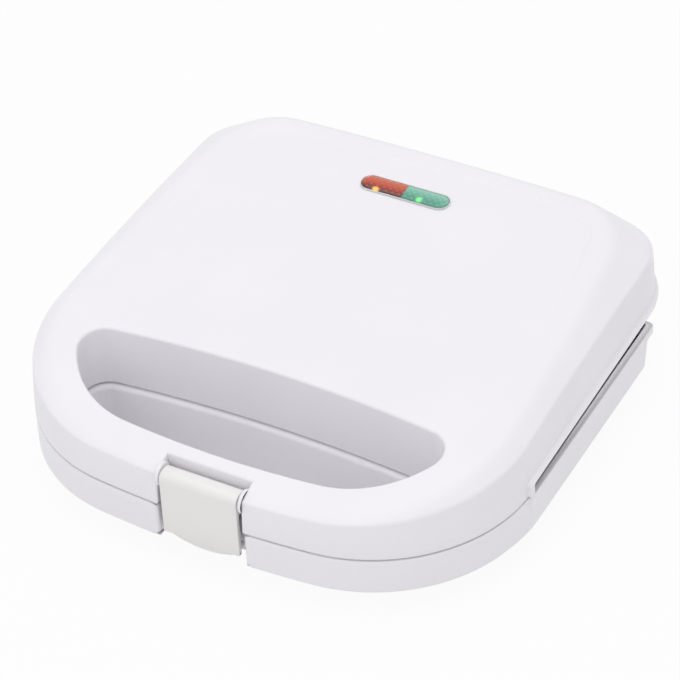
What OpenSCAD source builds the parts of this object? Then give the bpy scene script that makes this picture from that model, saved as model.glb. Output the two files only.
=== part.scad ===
// Two-slice sandwich toaster with a hinged lid, a finger hole through both
// mouldings and a front latch. Millimetres, +Z up, front at -Y, standing on z = 0.

/* [Body] */
// Width between the side walls at mid depth
body_w = 218.4; // [214:0.2:222]
// Depth from the front wall to the rear flange of the lid
body_depth = 224; // [220:1:228]
// Radius of the long arc across the front
front_arc_r = 486; // [400:2:600]
// Radius of the two front corners in plan
front_corner_r = 68; // [64:1:72]
// Radius across the rear of both mouldings
rear_arc_r = 1990; // [1500:10:2500]
// Taper of each side towards the rear, in degrees
side_taper = 1.15; // [0.8:0.05:1.5]
// Wall thickness of the mouldings
wall = 2.5; // [2:0.1:3]

/* [Lid] */
// Height of the front parting line above the table
parting_z = 28.6; // [28:0.1:29.2]
// Gap between lid and base at the parting line
parting_gap = 1; // [0.8:0.1:1.4]
// Height of the lid's side rim at mid depth
rim_z = 36.8; // [36.4:0.1:37.2]
// Slope of the lid's side rim up to the rear, in degrees
rim_slope = 1.55; // [1:0.05:1.8]
// Height of the lid's shoulder at the front
shoulder_front_z = 44.4; // [43:0.2:46]
// Slope of the flat part of the top, in degrees
top_slope = 6.2; // [5.6:0.1:6.6]
// Height of the top where the flat part starts
top_start_z = 59.2; // [58.6:0.1:60]
// Radius in side view of the curve down to the handle
top_front_r = 300; // [280:5:340]
// Slope of the bevel along the sides, in degrees
side_bevel = 39; // [36:0.5:41]
// Slope of the bevel across the rear, in degrees
rear_bevel = 50.3; // [47:0.1:53]
// Rounding of the shoulder
shoulder_r = 5; // [3:0.5:6]
// Reach of the flange along the lid's rim
flange_reach = 2.35; // [1.5:0.05:3]
// Depth of the recessed panel at its rear edge
panel_depth = 0.7; // [0.4:0.1:1]

/* [Handle] */
// Half width of the finger hole
hole_half_w = 87.7; // [84:0.1:89]
// Width of the handle bar at its middle
bar_w = 16.8; // [16:0.1:18]
// Reach of the finger hole from front to rear at its middle
hole_depth = 45.1; // [42:0.1:46]
// Radius of the finger hole's front corners
hole_corner_r = 47.5; // [46:0.5:48]
// Radius of the finger hole's rear ends
hole_end_r = 10; // [8:0.5:12]

/* [Latch] */
// Width of the latch at its top
latch_w = 35; // [33:0.5:36]
// Height of the latch's pivot
latch_pivot_z = 41.8; // [41:0.1:42.2]
// Radius of the latch's barrel
latch_barrel_r = 5.1; // [4.8:0.1:5.2]
// Height of the lower edge of the latch's face
latch_face_z = 16; // [15.5:0.1:16.5]
// Diameter of the latch pin
latch_pin_d = 3; // [2.5:0.5:3]

/* [Base] */
// Height of the lower edge of the base's wall
skirt_z = 12; // [11.5:0.1:12.5]
// Depth position of the base's rear lip
base_rear_y = 82; // [80:0.5:83]
// How far the base's sides stand out behind the front corners
side_step = 1.1; // [0.8:0.1:1.4]
// Height of the feet
foot_h = 4; // [3.5:0.5:4]

/* [Cooking plates] */
// Height of the plane where the two plates meet
plate_z = 33.5; // [33:0.1:34]
// Depth of each sandwich pocket
pocket_depth = 11; // [9:0.5:11]
// Thickness of the plates
plate_t = 2; // [1.5:0.1:2.2]
// Width of the land between the left and right pockets
land_w = 14; // [13:0.5:16]
// Width of the ridge that cuts each sandwich
ridge_w = 5; // [4:0.5:7]

/* [Hinge] */
// Depth position of the hinge axis
hinge_y = 90; // [89.5:0.1:90.5]
// Height of the hinge axis
hinge_z = 33; // [32.8:0.1:33.4]
// Distance of each hinge from the middle
hinge_x = 62; // [56:1:66]
// Diameter of the hinge pins
hinge_pin_d = 4; // [3.5:0.5:4]

/* [Indicator] */
// Length of the indicator window
lens_l = 42.5; // [40:0.5:45]
// Width of the indicator window
lens_w = 9.8; // [9:0.1:11]
// Depth position of the indicator window
lens_y = 65.8; // [60:0.2:68]

/* [Heaters] */
// Diameter of the tubular heating elements
heater_d = 6.6; // [6:0.1:6.8]
// Radius of the bend of each heating element
heater_bend_r = 27; // [24:1:29]

/* [Hidden] */

$fn = 64;
front_y = -body_depth / 2;
lid_rear_y = body_depth / 2 - flange_reach;
half_w = body_w / 2;
lid_bottom = parting_z + parting_gap / 2;
base_top = parting_z - parting_gap / 2;
hole_front_y = front_y + bar_w;
hole_rear_y = hole_front_y + hole_depth;
hole_front_r = 495;
hole_rear_r = 658;
top_start_y = -45;
skirt_cut_y = -45.3;
lid_wall_y = lid_rear_y - 1.8;
lid_wall_corner = 30;
latch_pivot_y = front_y + latch_barrel_r;
notch_half_w = latch_w / 2 + 1.8;
notch_rear_y = latch_pivot_y + latch_barrel_r + 0.6;
plate_gap = 0.1;
pan_z = foot_h;
pocket_in = 4.5;
plate_front_y = -45.5;
plate_rear_y = base_rear_y - 3;
plate_half_w = half_w - 3.1;
post_y = [-24.5, 57];
post_r = 3.6;
heater_mid_y = (plate_front_y + plate_rear_y) / 2;
heater_end_x = 68;
heater_bend_x = 54;
hinge_ear_w = 11;
lid_ear_t = 3.5;
ear_gap = 0.4;
body_white = [0.95, 0.945, 0.965];
plate_black = [0.13, 0.13, 0.14];
steel = [0.75, 0.76, 0.78];

// ---------- outlines ----------

// Points along an arc, leaving out its first point when skip is 1
function arc_pts(c, r, a0, a1, n, skip = 0) =
    [for (i = [skip:n]) let (a = a0 + (a1 - a0) * i / n) c + r * [cos(a), sin(a)]];

// Centre of a corner of radius r between the tapered side and an end arc;
// dir is 1 at the front and -1 at the rear
function corner_centre(hw, taper, r, end_y, end_r, dir) =
    let (nrm = [cos(taper), sin(taper)], along = [-sin(taper), cos(taper)],
        foot = (hw * cos(taper) - r) * nrm,
        q = foot - [0, end_y + dir * end_r],
        b = q * along,
        w = -b - dir * sqrt(max(b * b - q * q + pow(end_r - r, 2), 0)))
    foot + w * along;

// Closed plan outline: arc across the front, corners, tapered sides, arc across the rear;
// n holds the steps in each of the four arcs of the right-hand half
function plan_outline(hw, taper, f_y, f_r, f_corner, r_y, r_r, r_corner, n) =
    let (fc = corner_centre(hw, taper, f_corner, f_y, f_r, 1),
        rc = corner_centre(hw, taper, r_corner, r_y, r_r, -1),
        fa = atan2(fc.y - f_y - f_r, fc.x),
        ra = atan2(rc.y - r_y + r_r, rc.x),
        right = concat(
            arc_pts([0, f_y + f_r], f_r, -90, fa, n[0]),
            arc_pts(fc, f_corner, fa, taper, n[1], 1),
            arc_pts(rc, r_corner, taper, ra, n[2]),
            arc_pts([0, r_y - r_r], r_r, ra, 90, n[3], 1)),
        last = len(right) - 1)
    concat(right, [for (i = [last - 1:-1:1]) [-right[i].x, right[i].y]]);

// Body outline moved outwards by off, with its own rear
function body_outline(off, r_y, r_corner, n = [4, 11, 8, 3]) =
    plan_outline(half_w + off, side_taper, front_y - off, front_arc_r + off,
        front_corner_r + off, r_y + off, rear_arc_r, r_corner + off, n);

// Where two circles meet, on the right-hand side of the line from c1 to c2
function meeting(c1, r1, c2, r2) =
    let (d = c2 - c1, n = norm(d), a = (r1 * r1 - r2 * r2 + n * n) / (2 * n))
    c1 + (a * d + sqrt(r1 * r1 - a * a) * [-d.y, d.x]) / n;

// Finger hole, moved outwards by off: front arc, wide corners, tighter ends, rear arc
function hole_outline(off, n = [5, 6, 8, 4]) =
    let (front = [0, hole_front_y + hole_front_r],
        rear = [0, hole_rear_y - hole_rear_r],
        corner = corner_centre(hole_half_w, 0, hole_corner_r, hole_front_y, hole_front_r, 1),
        end = meeting(corner, hole_corner_r - hole_end_r, rear, hole_rear_r - hole_end_r),
        fa = atan2(corner.y - front.y, corner.x),
        ca = atan2(end.y - corner.y, end.x - corner.x),
        ra = atan2(end.y - rear.y, end.x),
        right = concat(
            arc_pts(front, hole_front_r + off, -90, fa, n[0]),
            arc_pts(corner, hole_corner_r + off, fa, ca, n[1], 1),
            arc_pts(end, hole_end_r + off, ca, ra, n[2], 1),
            arc_pts(rear, hole_rear_r + off, ra, 90, n[3], 1)),
        last = len(right) - 1)
    concat(right, [for (i = [last - 1:-1:1]) [-right[i].x, right[i].y]]);

// Outline of a rectangle-like part with four corners of radius r and tapered sides
function tray_outline(hw, f_y, r_y, r) =
    plan_outline(hw, side_taper, f_y, 3000, r, r_y, 3000, r, [1, 5, 5, 1]);

// Height of the lid's rim
function rim_height(y) = rim_z + tan(rim_slope) * y;

// ---------- the lid's crown as a height over the plan ----------

// Shoulder line in side view: a shallow arc that climbs to the rear
function shoulder_z(y) =
    shoulder_front_z + 0.1319 * (y - front_y) - 0.000366 * (y - front_y) * (y + 40);

// Top line in side view: straight, then curved down to the handle bar
function top_z(y) =
    let (back = max(top_start_y - y, 0))
    top_start_z + tan(top_slope) * (y - top_start_y) - back * back / (2 * top_front_r);

function soft_min(a, b, k) =
    let (h = max(k - abs(a - b), 0) / k) min(a, b) - h * h * k / 4;

// Rise above the shoulder at a distance d in from it: a rounding, then the bevel
function bevel_rise(d, m) =
    let (q = sqrt(1 + m * m))
    d < shoulder_r * (1 - m / q)
        ? shoulder_r * (m - q) + sqrt(pow(shoulder_r, 2) - pow(shoulder_r - d, 2))
        : m * d;

// The shoulder sits a little lower across the rear
rear_drop = 1.7;
function crown_z(p, d, rearness) =
    let (r = pow(max(rearness, 0), 2), m = tan(side_bevel) + (tan(rear_bevel) - tan(side_bevel)) * r)
    soft_min(top_z(p.y), shoulder_z(p.y) - rear_drop * r + bevel_rise(d, m), 2);

// Outline of the crown at a distance d in from the shoulder, with rear corners of one radius
shoulder_off = -1;
shoulder_rear_y = 105.2;
shoulder_rear_corner = 27.3;
function crown_outline(d, n) =
    body_outline(shoulder_off - d, shoulder_rear_y, shoulder_rear_corner - shoulder_off + d, n);

// How far an outline faces the rear at its point i, from -1 to 1
function facing_rear(ring, i) =
    let (k = len(ring), t = ring[(i + 1) % k] - ring[(i + k - 1) % k]) -t.x / norm(t);

// Ring of the crown at a distance d in from the shoulder
function crown_ring(d, inset, drop, n) =
    let (ring = crown_outline(d + inset, n))
    [for (i = [0:len(ring) - 1])
        [ring[i].x, ring[i].y, crown_z(ring[i], d, facing_rear(ring, i)) - drop]];

// Innermost ring shrunk towards the middle of the top
crown_mid = [0, -10];
function crown_scaled(d, inset, drop, f, n) =
    [for (p = crown_outline(d + inset, n))
        let (q = crown_mid + f * (p - crown_mid)) [q.x, q.y, top_z(q.y) - drop]];

function at_z(pts, z) = [for (p = pts) [p.x, p.y, z]];

// ---------- general shapes ----------

// Solid through a stack of rings that have the same number of points
module loft(rings) {
    n = len(rings[0]);
    top = len(rings) - 1;
    sides = [for (k = [0:top - 1], i = [0:n - 1])
        let (j = (i + 1) % n, a = k * n + i, b = k * n + j, c = (k + 1) * n + j, e = (k + 1) * n + i)
        each [[a, c, b], [a, e, c]]];
    polyhedron(points = [for (r = rings) each r],
        faces = concat([[for (i = [0:n - 1]) i]],
            sides, [[for (i = [n - 1:-1:0]) top * n + i]]));
}

// Corner points of a polygon moved inwards by t
function inset_polygon(v, t) =
    [for (i = [0:len(v) - 1])
        let (n = len(v), a = v[(i + n - 1) % n], b = v[i], c = v[(i + 1) % n],
            e1 = (b - a) / norm(b - a), e2 = (c - b) / norm(c - b),
            n1 = [-e1.y, e1.x], n2 = [-e2.y, e2.x])
        b + t * (n1 + n2) / (1 + n1 * n2)];

// Polygon with its corners rounded to radius r, anticlockwise
function rounded_polygon(v, r, steps) =
    let (n = len(v), c = inset_polygon(v, r))
    [for (i = [0:n - 1])
        let (a = v[(i + n - 1) % n], b = v[i], e = v[(i + 1) % n],
            a0 = atan2(b.y - a.y, b.x - a.x) - 90,
            turn = (atan2(e.y - b.y, e.x - b.x) - 90 - a0 + 720) % 360)
        each arc_pts(c[i], r, a0, a0 + turn, steps)];

module bar_x(y, z, r, x0, x1) {
    translate([x0, y, z]) rotate([0, 90, 0]) cylinder(r = r, h = x1 - x0);
}

module bar_y(x, z, r, y0, y1) {
    translate([x, y0, z]) rotate([-90, 0, 0]) cylinder(r = r, h = y1 - y0);
}

// Side profile in the Y-Z plane, drawn between two X positions
module along_x(x0, x1) {
    translate([x0, 0, 0]) rotate([90, 0, 90]) linear_extrude(x1 - x0) children();
}

module pill(l, w) {
    for (s = [-1, 1]) translate([s * (l - w) / 2, 0]) circle(d = w);
    square([l - w, w], center = true);
}

// ---------- lid ----------

// Joins what it is given into one solid, left at its own size
module one_solid() {
    resize([0, 0, 0]) children();
}

module lid_outer() {
    n = [4, 11, 8, 3];
    wall_low = at_z(body_outline(0, lid_wall_y, lid_wall_corner, n), lid_bottom);
    wall_mid = at_z(body_outline(-0.4, lid_wall_y, lid_wall_corner, n), rim_z + 2);
    loft(concat(
        [wall_low, wall_mid],
        [for (d = [0, 0.6, 1.8, 4, 7.5, 11, 14.5, 19]) crown_ring(d, 0, 0, n)],
        [for (f = [0.84, 0.55, 0.2]) crown_scaled(19, 0, 0, f, n)]));
}

module lid_inner() {
    n = [2, 6, 4, 2];
    wall_low = at_z(body_outline(-wall, lid_wall_y, lid_wall_corner, n), lid_bottom - 1);
    wall_mid = at_z(body_outline(-0.4 - wall, lid_wall_y, lid_wall_corner, n), rim_z + 2);
    loft(concat(
        [wall_low, wall_mid],
        [for (d = [0, 2.5, 9, 15]) crown_ring(d, wall, wall, n)],
        [for (f = [0.7, 0.2]) crown_scaled(15, wall, wall, f, n)]));
}

// Flange along the lid's rim, turned down at its front ends
module lid_flange() {
    y = skirt_cut_y;
    z = rim_height(y);
    intersection() {
        translate([0, 0, lid_bottom]) linear_extrude(30) difference() {
            polygon(body_outline(flange_reach, lid_rear_y, 37));
            polygon(body_outline(-wall + 0.5, lid_wall_y, lid_wall_corner));
        }
        along_x(-150, 150) polygon([[y - 2.8, lid_bottom + 0.8], [y - 2.2, lid_bottom + 0.2],
            [y - 0.6, lid_bottom + 0.2], [y, lid_bottom + 0.8], [y, z], [130, rim_height(130)],
            [130, rim_height(130) + 1.5], [y, z + 1.5], [y - 1.4, z + 1.2], [y - 2.4, z + 0.4],
            [y - 2.8, z - 0.8]]);
    }
}

// Web between the cooking plate and the wall of a moulding
module rim_shelf(hw, r_y, z0) {
    translate([0, 0, z0]) linear_extrude(1.8) difference() {
        translate([-120, plate_front_y - 10]) square([240, 200]);
        polygon(tray_outline(hw, plate_front_y - 0.6, r_y, 6.6));
    }
}

// Deck over the front of a moulding, z0 to z1
module front_deck(z0, z1) {
    translate([-120, front_y - 1, z0]) cube([240, plate_front_y - 0.6 - front_y + 1, z1 - z0]);
}

// Cheeks of the lid's half of each hinge
module lid_ears() {
    for (s = [-1, 1], side = [-1, 1]) {
        x0 = s * hinge_x + side * (hinge_ear_w / 2 + ear_gap + lid_ear_t / 2) - lid_ear_t / 2;
        along_x(x0, x0 + lid_ear_t) polygon([[hinge_y - 4, hinge_z], [hinge_y - 4, 67], [hinge_y + 4, 67],
            [hinge_y + 13, 52], [hinge_y + 15, 46], [hinge_y + 16, rim_z + 3.8],
            [hinge_y + 9, rim_z + 1.4], [hinge_y + 3.2, hinge_z - 2.4]]);
        bar_x(hinge_y, hinge_z, 4.6, x0, x0 + lid_ear_t);
    }
}

module lid_moulding() {
    difference() {
        lid_outer();
        difference() {
            lid_inner();
            translate([0, 0, lid_bottom - 2]) linear_extrude(60) polygon(hole_outline(2.2));
            front_deck(lid_bottom, lid_bottom + 2);
            rim_shelf(plate_half_w + 0.6, plate_rear_y + 0.6, rim_z + 3.1);
            // box round the latch
            translate([-notch_half_w - 2, front_y - 1, lid_bottom - 2])
                cube([2 * notch_half_w + 4, notch_rear_y - front_y + 3, 40]);
            // posts for the plate screws
            for (y = post_y)
                translate([0, y, plate_z + plate_gap + plate_t]) cylinder(r = post_r, h = 40, $fn = 24);
        }
        // raised rim along the sides and the rear
        difference() {
            along_x(-150, 150) polygon([[skirt_cut_y, 0], [160, 0], [160, rim_height(160) + 0.3],
                [skirt_cut_y, rim_height(skirt_cut_y) + 0.3]]);
            for (y = post_y)
                translate([0, y, plate_z + plate_gap + plate_t]) cylinder(r = post_r, h = 40, $fn = 24);
        }
        linear_extrude(90) polygon(hole_outline(0));
        // latch notch
        translate([-notch_half_w, front_y - 10, 0]) cube([2 * notch_half_w, notch_rear_y - front_y + 10, 90]);
        // indicator window
        translate([0, lens_y, top_z(lens_y)]) rotate([top_slope, 0, 0])
            translate([0, 0, -20]) linear_extrude(30) pill(lens_l, lens_w, $fn = 48);
        // shallow panel, fading out towards the handle
        translate([0, top_start_y, top_start_z - 0.15]) rotate([top_slope - atan(panel_depth / 160), 0, 0])
            linear_extrude(8) polygon(plan_outline(100, 8.2, 0, 3000, 18, 129.4, 3000, 18, [1, 4, 4, 1]));
    }
    lid_flange();
}

module lid_shell() color(body_white) difference() {
    one_solid() union() {
        lid_moulding();
        lid_ears($fn = 40);
        // bosses beside the latch's barrel
        for (s = [-1, 1]) bar_x(latch_pivot_y, latch_pivot_z, latch_barrel_r - 0.1,
            s > 0 ? notch_half_w - 1.2 : -notch_half_w - 1,
            s > 0 ? notch_half_w + 1 : 1.2 - notch_half_w, $fn = 40);
    }
    for (y = post_y) translate([0, y, plate_z]) cylinder(r = 1.25, h = 16);
    for (s = [-1, 1]) {
        bar_x(hinge_y, hinge_z, hinge_pin_d / 2 + 0.05, s * hinge_x - 12, s * hinge_x + 12);
        bar_x(latch_pivot_y, latch_pivot_z, latch_pin_d / 2,
            s > 0 ? latch_w / 2 : -notch_half_w - 1.4, s > 0 ? notch_half_w + 1.4 : -latch_w / 2);
    }
}

// Steel pin that the latch turns on, held by the lid
module latch_pin() color(steel)
    bar_x(latch_pivot_y, latch_pivot_z, latch_pin_d / 2, -notch_half_w - 1.4, notch_half_w + 1.4);

// ---------- cooking plates, cooking side up at z = 0 ----------

// Corners of the triangular pockets right of the middle
pocket_x0 = land_w / 2;
pocket_x1 = plate_half_w - pocket_in;
pocket_y0 = plate_front_y + pocket_in;
pocket_y1 = plate_rear_y - pocket_in;
ridge_cut = ridge_w * 0.78;
function pocket_a() = [[pocket_x0, pocket_y1 - ridge_cut], [pocket_x0, pocket_y0],
    [pocket_x1 - ridge_cut, pocket_y0]];
function pocket_b() = [[pocket_x1, pocket_y0 + ridge_cut], [pocket_x1, pocket_y1],
    [pocket_x0 + ridge_cut, pocket_y1]];

module pocket(tri, grow, extra, over) {
    steps = [[-grow, over], [0.9 - grow, -1.2 - extra / 2], [4.4 - grow, -0.72 * pocket_depth - extra],
        [7 - grow, -0.93 * pocket_depth - extra], [10.5 - grow, -pocket_depth - extra]];
    loft([for (i = [len(steps) - 1:-1:0])
        at_z(rounded_polygon(inset_polygon(tri, steps[i][0]), 5, 5), steps[i][1])]);
}

module all_pockets(grow, extra, over) {
    for (m = [0, 1]) mirror([m, 0, 0]) {
        pocket(pocket_a(), grow, extra, over);
        pocket(pocket_b(), grow, extra, over);
    }
}

module cooking_plate() difference() {
    union() {
        translate([0, 0, -plate_t]) linear_extrude(plate_t)
            polygon(tray_outline(plate_half_w, plate_front_y, plate_rear_y, 6));
        // skirt round the rim
        translate([0, 0, -6.5]) linear_extrude(6.5) difference() {
            polygon(tray_outline(plate_half_w, plate_front_y, plate_rear_y, 6));
            polygon(tray_outline(plate_half_w - 1.6, plate_front_y + 1.6, plate_rear_y - 1.6, 4.4));
        }
        all_pockets(plate_t * 0.9, plate_t, -plate_t / 2);
    }
    all_pockets(0, 0, 0.5);
    for (y = post_y) translate([0, y, 0]) {
        translate([0, 0, -10]) cylinder(r = 1.7, h = 20);
        translate([0, 0, -1.6]) cylinder(r1 = 1.7, r2 = 3.4, h = 1.7);
    }
}

module upper_plate() color(plate_black)
    translate([0, 0, plate_z + plate_gap]) mirror([0, 0, 1]) cooking_plate();

module lower_plate() color(plate_black) translate([0, 0, plate_z - plate_gap]) cooking_plate();

// Countersunk screws with a cross recess, heads flush with the cooking side
module plate_screws() {
    for (y = post_y) translate([0, y, 0]) difference() {
        union() {
            translate([0, 0, -1.55]) cylinder(r1 = 1.6, r2 = 3.2, h = 1.5);
            translate([0, 0, -14]) cylinder(r = 1.25, h = 13);
        }
        for (a = [0, 90]) rotate(a) translate([-1.6, -0.35, -0.9]) cube([3.2, 0.7, 2]);
    }
}

module upper_plate_screws() color(steel)
    translate([0, 0, plate_z + plate_gap]) mirror([0, 0, 1]) plate_screws();

module lower_plate_screws() color(steel) translate([0, 0, plate_z - plate_gap]) plate_screws();

// ---------- heating, drawn with the plate's back at z = 0 and the heater above it ----------

heater_r = heater_d / 2;

module heater() {
    for (s = [-1, 1]) {
        y = heater_mid_y + s * heater_bend_r;
        bar_x(y, heater_r, heater_r, -heater_bend_x, heater_end_x);
        bar_x(y, heater_r, 2.6, heater_end_x, heater_end_x + 4);
        bar_x(y, heater_r, 1.2, heater_end_x + 4, heater_end_x + 12);
    }
    translate([-heater_bend_x, heater_mid_y, heater_r]) rotate(90)
        rotate_extrude(angle = 180) translate([heater_bend_r, 0]) circle(r = heater_r);
}

// Sheet strips that hold the heater down, with a saddle over each leg
module heater_clamps() {
    t = 0.8;
    for (x = [-34, 34]) along_x(x - 5, x + 5) difference() {
        union() {
            translate([heater_mid_y - heater_bend_r, 0]) square([2 * heater_bend_r, t]);
            for (s = [-1, 1]) translate([heater_mid_y + s * heater_bend_r, 0]) {
                translate([0, heater_r]) circle(r = heater_r + t);
                translate([-heater_r - t, 0]) square([2 * (heater_r + t), heater_r]);
            }
        }
        for (s = [-1, 1]) translate([heater_mid_y + s * heater_bend_r, 0]) {
            translate([0, heater_r]) circle(r = heater_r + 0.02);
            translate([-heater_r - 0.02, -1]) square([2 * heater_r + 0.04, heater_r + 1]);
        }
        translate([heater_mid_y - 60, -10]) square([120, 10]);
    }
}

module reflector(hw, f_y, r_y, lip, cut) {
    difference() {
        linear_extrude(lip) polygon(tray_outline(hw, f_y, r_y, 8));
        translate([0, 0, 0.6]) linear_extrude(lip) polygon(tray_outline(hw - 0.6, f_y + 0.6, r_y - 0.6, 7.4));
        for (y = post_y) translate([0, y, -1]) cylinder(r = post_r + 1, h = 10);
        if (cut) translate([thermostat_x, heater_mid_y, -1]) cylinder(r = 10, h = 10);
        // vents pressed through the sheet
        for (x = [-66:22:66]) if (!cut || x < 0)
            translate([x, heater_mid_y, -1]) linear_extrude(10) pill(12, 3);
    }
}

plate_back = pocket_depth + plate_t;
upper_back_z = plate_z + plate_gap + plate_back;
lower_back_z = plate_z - plate_gap - plate_back;
thermostat_x = 18;

module upper_heater() color("dimgray") translate([0, 0, upper_back_z + 0.05]) heater();

module lower_heater() color("dimgray")
    translate([0, 0, lower_back_z - 0.05]) mirror([0, 0, 1]) heater();

module upper_heater_clamps() color(steel) translate([0, 0, upper_back_z + 0.05]) heater_clamps();

module lower_heater_clamps() color(steel)
    translate([0, 0, lower_back_z - 0.05]) mirror([0, 0, 1]) heater_clamps();

module upper_reflector() color(steel)
    translate([0, 0, upper_back_z + heater_d + 2.7]) mirror([0, 0, 1])
        reflector(86, -38, 50, 1.6, true);

module lower_reflector() color(steel)
    translate([0, 0, lower_back_z - heater_d - 1.7]) reflector(86, -36, 61, 0.7, false);

// ---------- electrical pieces ----------

// Disc thermostat pressed to the back of the upper plate
module thermostat() color("saddlebrown") translate([thermostat_x, heater_mid_y, upper_back_z + 0.05]) {
    cylinder(r = 8, h = 2);
    translate([0, 0, 2]) cylinder(r = 7.2, h = 6);
    for (s = [-1, 1]) translate([s * 3.5 - 0.4, -3.1, 8]) cube([0.8, 6.2, 4]);
}

// Cutout in a glass sleeve on the back of the lower plate
module thermal_fuse() color("ivory") {
    z = lower_back_z - 2.3;
    bar_x(heater_mid_y, z, 2.2, -62, -48);
    bar_x(heater_mid_y, z, 0.5, -70, -62);
    bar_x(heater_mid_y, z, 0.5, -48, -40);
}

// Two half pills that make up the window; side is -1 for the left one
module lens_half(side) {
    translate([0, lens_y, top_z(lens_y)]) rotate([top_slope, 0, 0]) intersection() {
        difference() {
            translate([0, 0, -5]) linear_extrude(6.2) pill(lens_l - 2.6, lens_w - 2.6);
            translate([0, 0, -5.1]) linear_extrude(4.1) pill(lens_l - 5, lens_w - 5);
        }
        translate([side > 0 ? 0.05 : -30.05, -10, -8]) cube([30, 20, 12]);
    }
}

module red_lens() color("orangered") lens_half(-1);

module green_lens() color("mediumseagreen") lens_half(1);

module lens_rim() color([0.9, 0.92, 0.92])
    translate([0, lens_y, top_z(lens_y)]) rotate([top_slope, 0, 0]) difference() {
        union() {
            translate([0, 0, -4]) linear_extrude(4.6) pill(lens_l - 0.1, lens_w - 0.1);
            translate([0, 0, -4]) linear_extrude(1.3) pill(lens_l + 4, lens_w + 4);
        }
        translate([0, 0, -8]) linear_extrude(10) pill(lens_l - 2.5, lens_w - 2.5);
        // room for the screw post in front of the window
        rotate([-top_slope, 0, 0]) translate([0, post_y[1] - lens_y, -20]) cylinder(r = post_r + 0.3, h = 40);
    }

lamp_x = 10;
lamp_top_z = 62.6;

module lamp(x) translate([x, lens_y, 0]) {
    translate([0, 0, lamp_top_z - 8]) cylinder(r = 2.9, h = 6);
    translate([0, 0, lamp_top_z - 2]) sphere(r = 2.9);
    for (s = [-1, 1]) translate([s * 1.2, 0, lamp_top_z - 10.5]) cylinder(r = 0.35, h = 2.6);
}

module red_lamp() color("orange") lamp(-lamp_x);

module green_lamp() color("palegreen") lamp(lamp_x);

// Strip under the window with a cup for each lamp, hung on two posts from the rim's flange
module lamp_holder() color("white") difference() {
    union() {
        translate([0, lens_y, lamp_top_z - 6.5]) linear_extrude(2) pill(lens_l + 3, 9);
        for (x = [-lamp_x, lamp_x]) translate([x, lens_y, lamp_top_z - 6.5]) cylinder(r = 4, h = 4);
        for (s = [-1, 1]) translate([s * (lens_l / 2 - 0.5), lens_y, lamp_top_z - 5.5])
            cylinder(r = 1.3, h = top_z(lens_y) - 4.3 - lamp_top_z + 5.5);
    }
    for (x = [-lamp_x, lamp_x]) translate([x, lens_y, lamp_top_z - 8]) cylinder(r = 3, h = 20);
}

// ---------- latch ----------

latch_low_w = latch_w - 2.1;
tab_sag = 4.4;

module latch() color([0.94, 0.935, 0.925]) difference() {
    intersection() {
        // side profile
        along_x(-30, 30) {
            translate([latch_pivot_y, latch_pivot_z]) circle(r = latch_barrel_r);
            polygon([[front_y, latch_face_z], [front_y + 2.4, latch_face_z], [front_y + 2.4, latch_pivot_z],
                [latch_pivot_y, latch_pivot_z], [latch_pivot_y, latch_pivot_z + latch_barrel_r - 0.02],
                [front_y + 0.9, latch_pivot_z + 4.5], [front_y + 0.2, latch_pivot_z + 4],
                [front_y, latch_pivot_z + 3.3]]);
            translate([front_y + 1.1, latch_face_z - tab_sag - 1]) square([2, tab_sag + 3]);
            // hook under the base's ledge
            polygon([[front_y + 2, latch_face_z + 3.5], [front_y + 2, latch_face_z + 0.2],
                [front_y + 6.2, latch_face_z + 1.6], [front_y + 6.2, latch_face_z + 3.1],
                [front_y + 5.8, latch_face_z + 3.5]]);
        }
        // front view: slightly tapered, with a curved finger tab below
        translate([0, front_y + 40, 0]) rotate([90, 0, 0]) linear_extrude(60) union() {
            polygon([[-latch_low_w / 2, latch_face_z], [latch_low_w / 2, latch_face_z],
                [latch_w / 2, latch_pivot_z + latch_barrel_r], [-latch_w / 2, latch_pivot_z + latch_barrel_r]]);
            tab_r = (pow(latch_low_w / 2, 2) + pow(tab_sag, 2)) / (2 * tab_sag);
            intersection() {
                translate([0, latch_face_z - tab_sag + tab_r]) circle(r = tab_r, $fn = 96);
                translate([-latch_low_w / 2, latch_face_z - tab_sag]) square([latch_low_w, tab_sag + 1]);
            }
        }
    }
    bar_x(latch_pivot_y, latch_pivot_z, latch_pin_d / 2 + 0.07, -30, 30);
}

// ---------- base ----------

ledge_half_w = 11;
base_notch_half_w = notch_half_w + 0.5;
base_notch_rear_y = front_y + 8.4;
// Outer face of the boss that holds the cord bush, and the boss's length
bush_x = 87;
bush_z = 19.05;
bush_y = base_rear_y - 4.8;
bush_grip = 4.6;
base_hole_off = -1.8;

// Plain across the front; the sides stand out behind the corners and the rear ends in a lip
module base_outer() {
    n = [4, 11, 5, 3];
    loft([for (s = [[-0.5, 0], [0, 0.5], [0, base_top - skirt_z]])
        at_z(body_outline(s[0], base_rear_y - 7, 4, n), skirt_z + s[1])]);
    intersection() {
        loft([for (s = [[side_step - 0.5, -6.1, 4.1, skirt_z], [side_step, -6.1, 4.1, skirt_z + 0.5],
            [side_step, -4.1, 4.1, base_top - 3.3], [side_step, 0, 1.4, base_top - 3.2],
            [side_step, 0, 1.4, base_top - 0.5], [side_step - 0.4, 0, 1.4, base_top]])
            at_z(body_outline(s[0], base_rear_y + s[1], s[2], n), s[3])]);
        translate([-150, skirt_cut_y - 1.2, 0]) cube([300, 200, 60]);
    }
}

// Hollow of the tray, wider behind the lip
module base_hollow() {
    n = [2, 8, 4, 2];
    loft([for (s = [[-wall, -4.7, 5.5, skirt_z + wall], [-wall, -3.1, 5.5, base_top - 2.2],
        [-0.65, 0, 2.65, base_top - 2], [-0.65, 0, 2.65, base_top + 10]])
        at_z(body_outline(s[0], base_rear_y + s[1], s[2], n), s[3])]);
}

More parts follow.
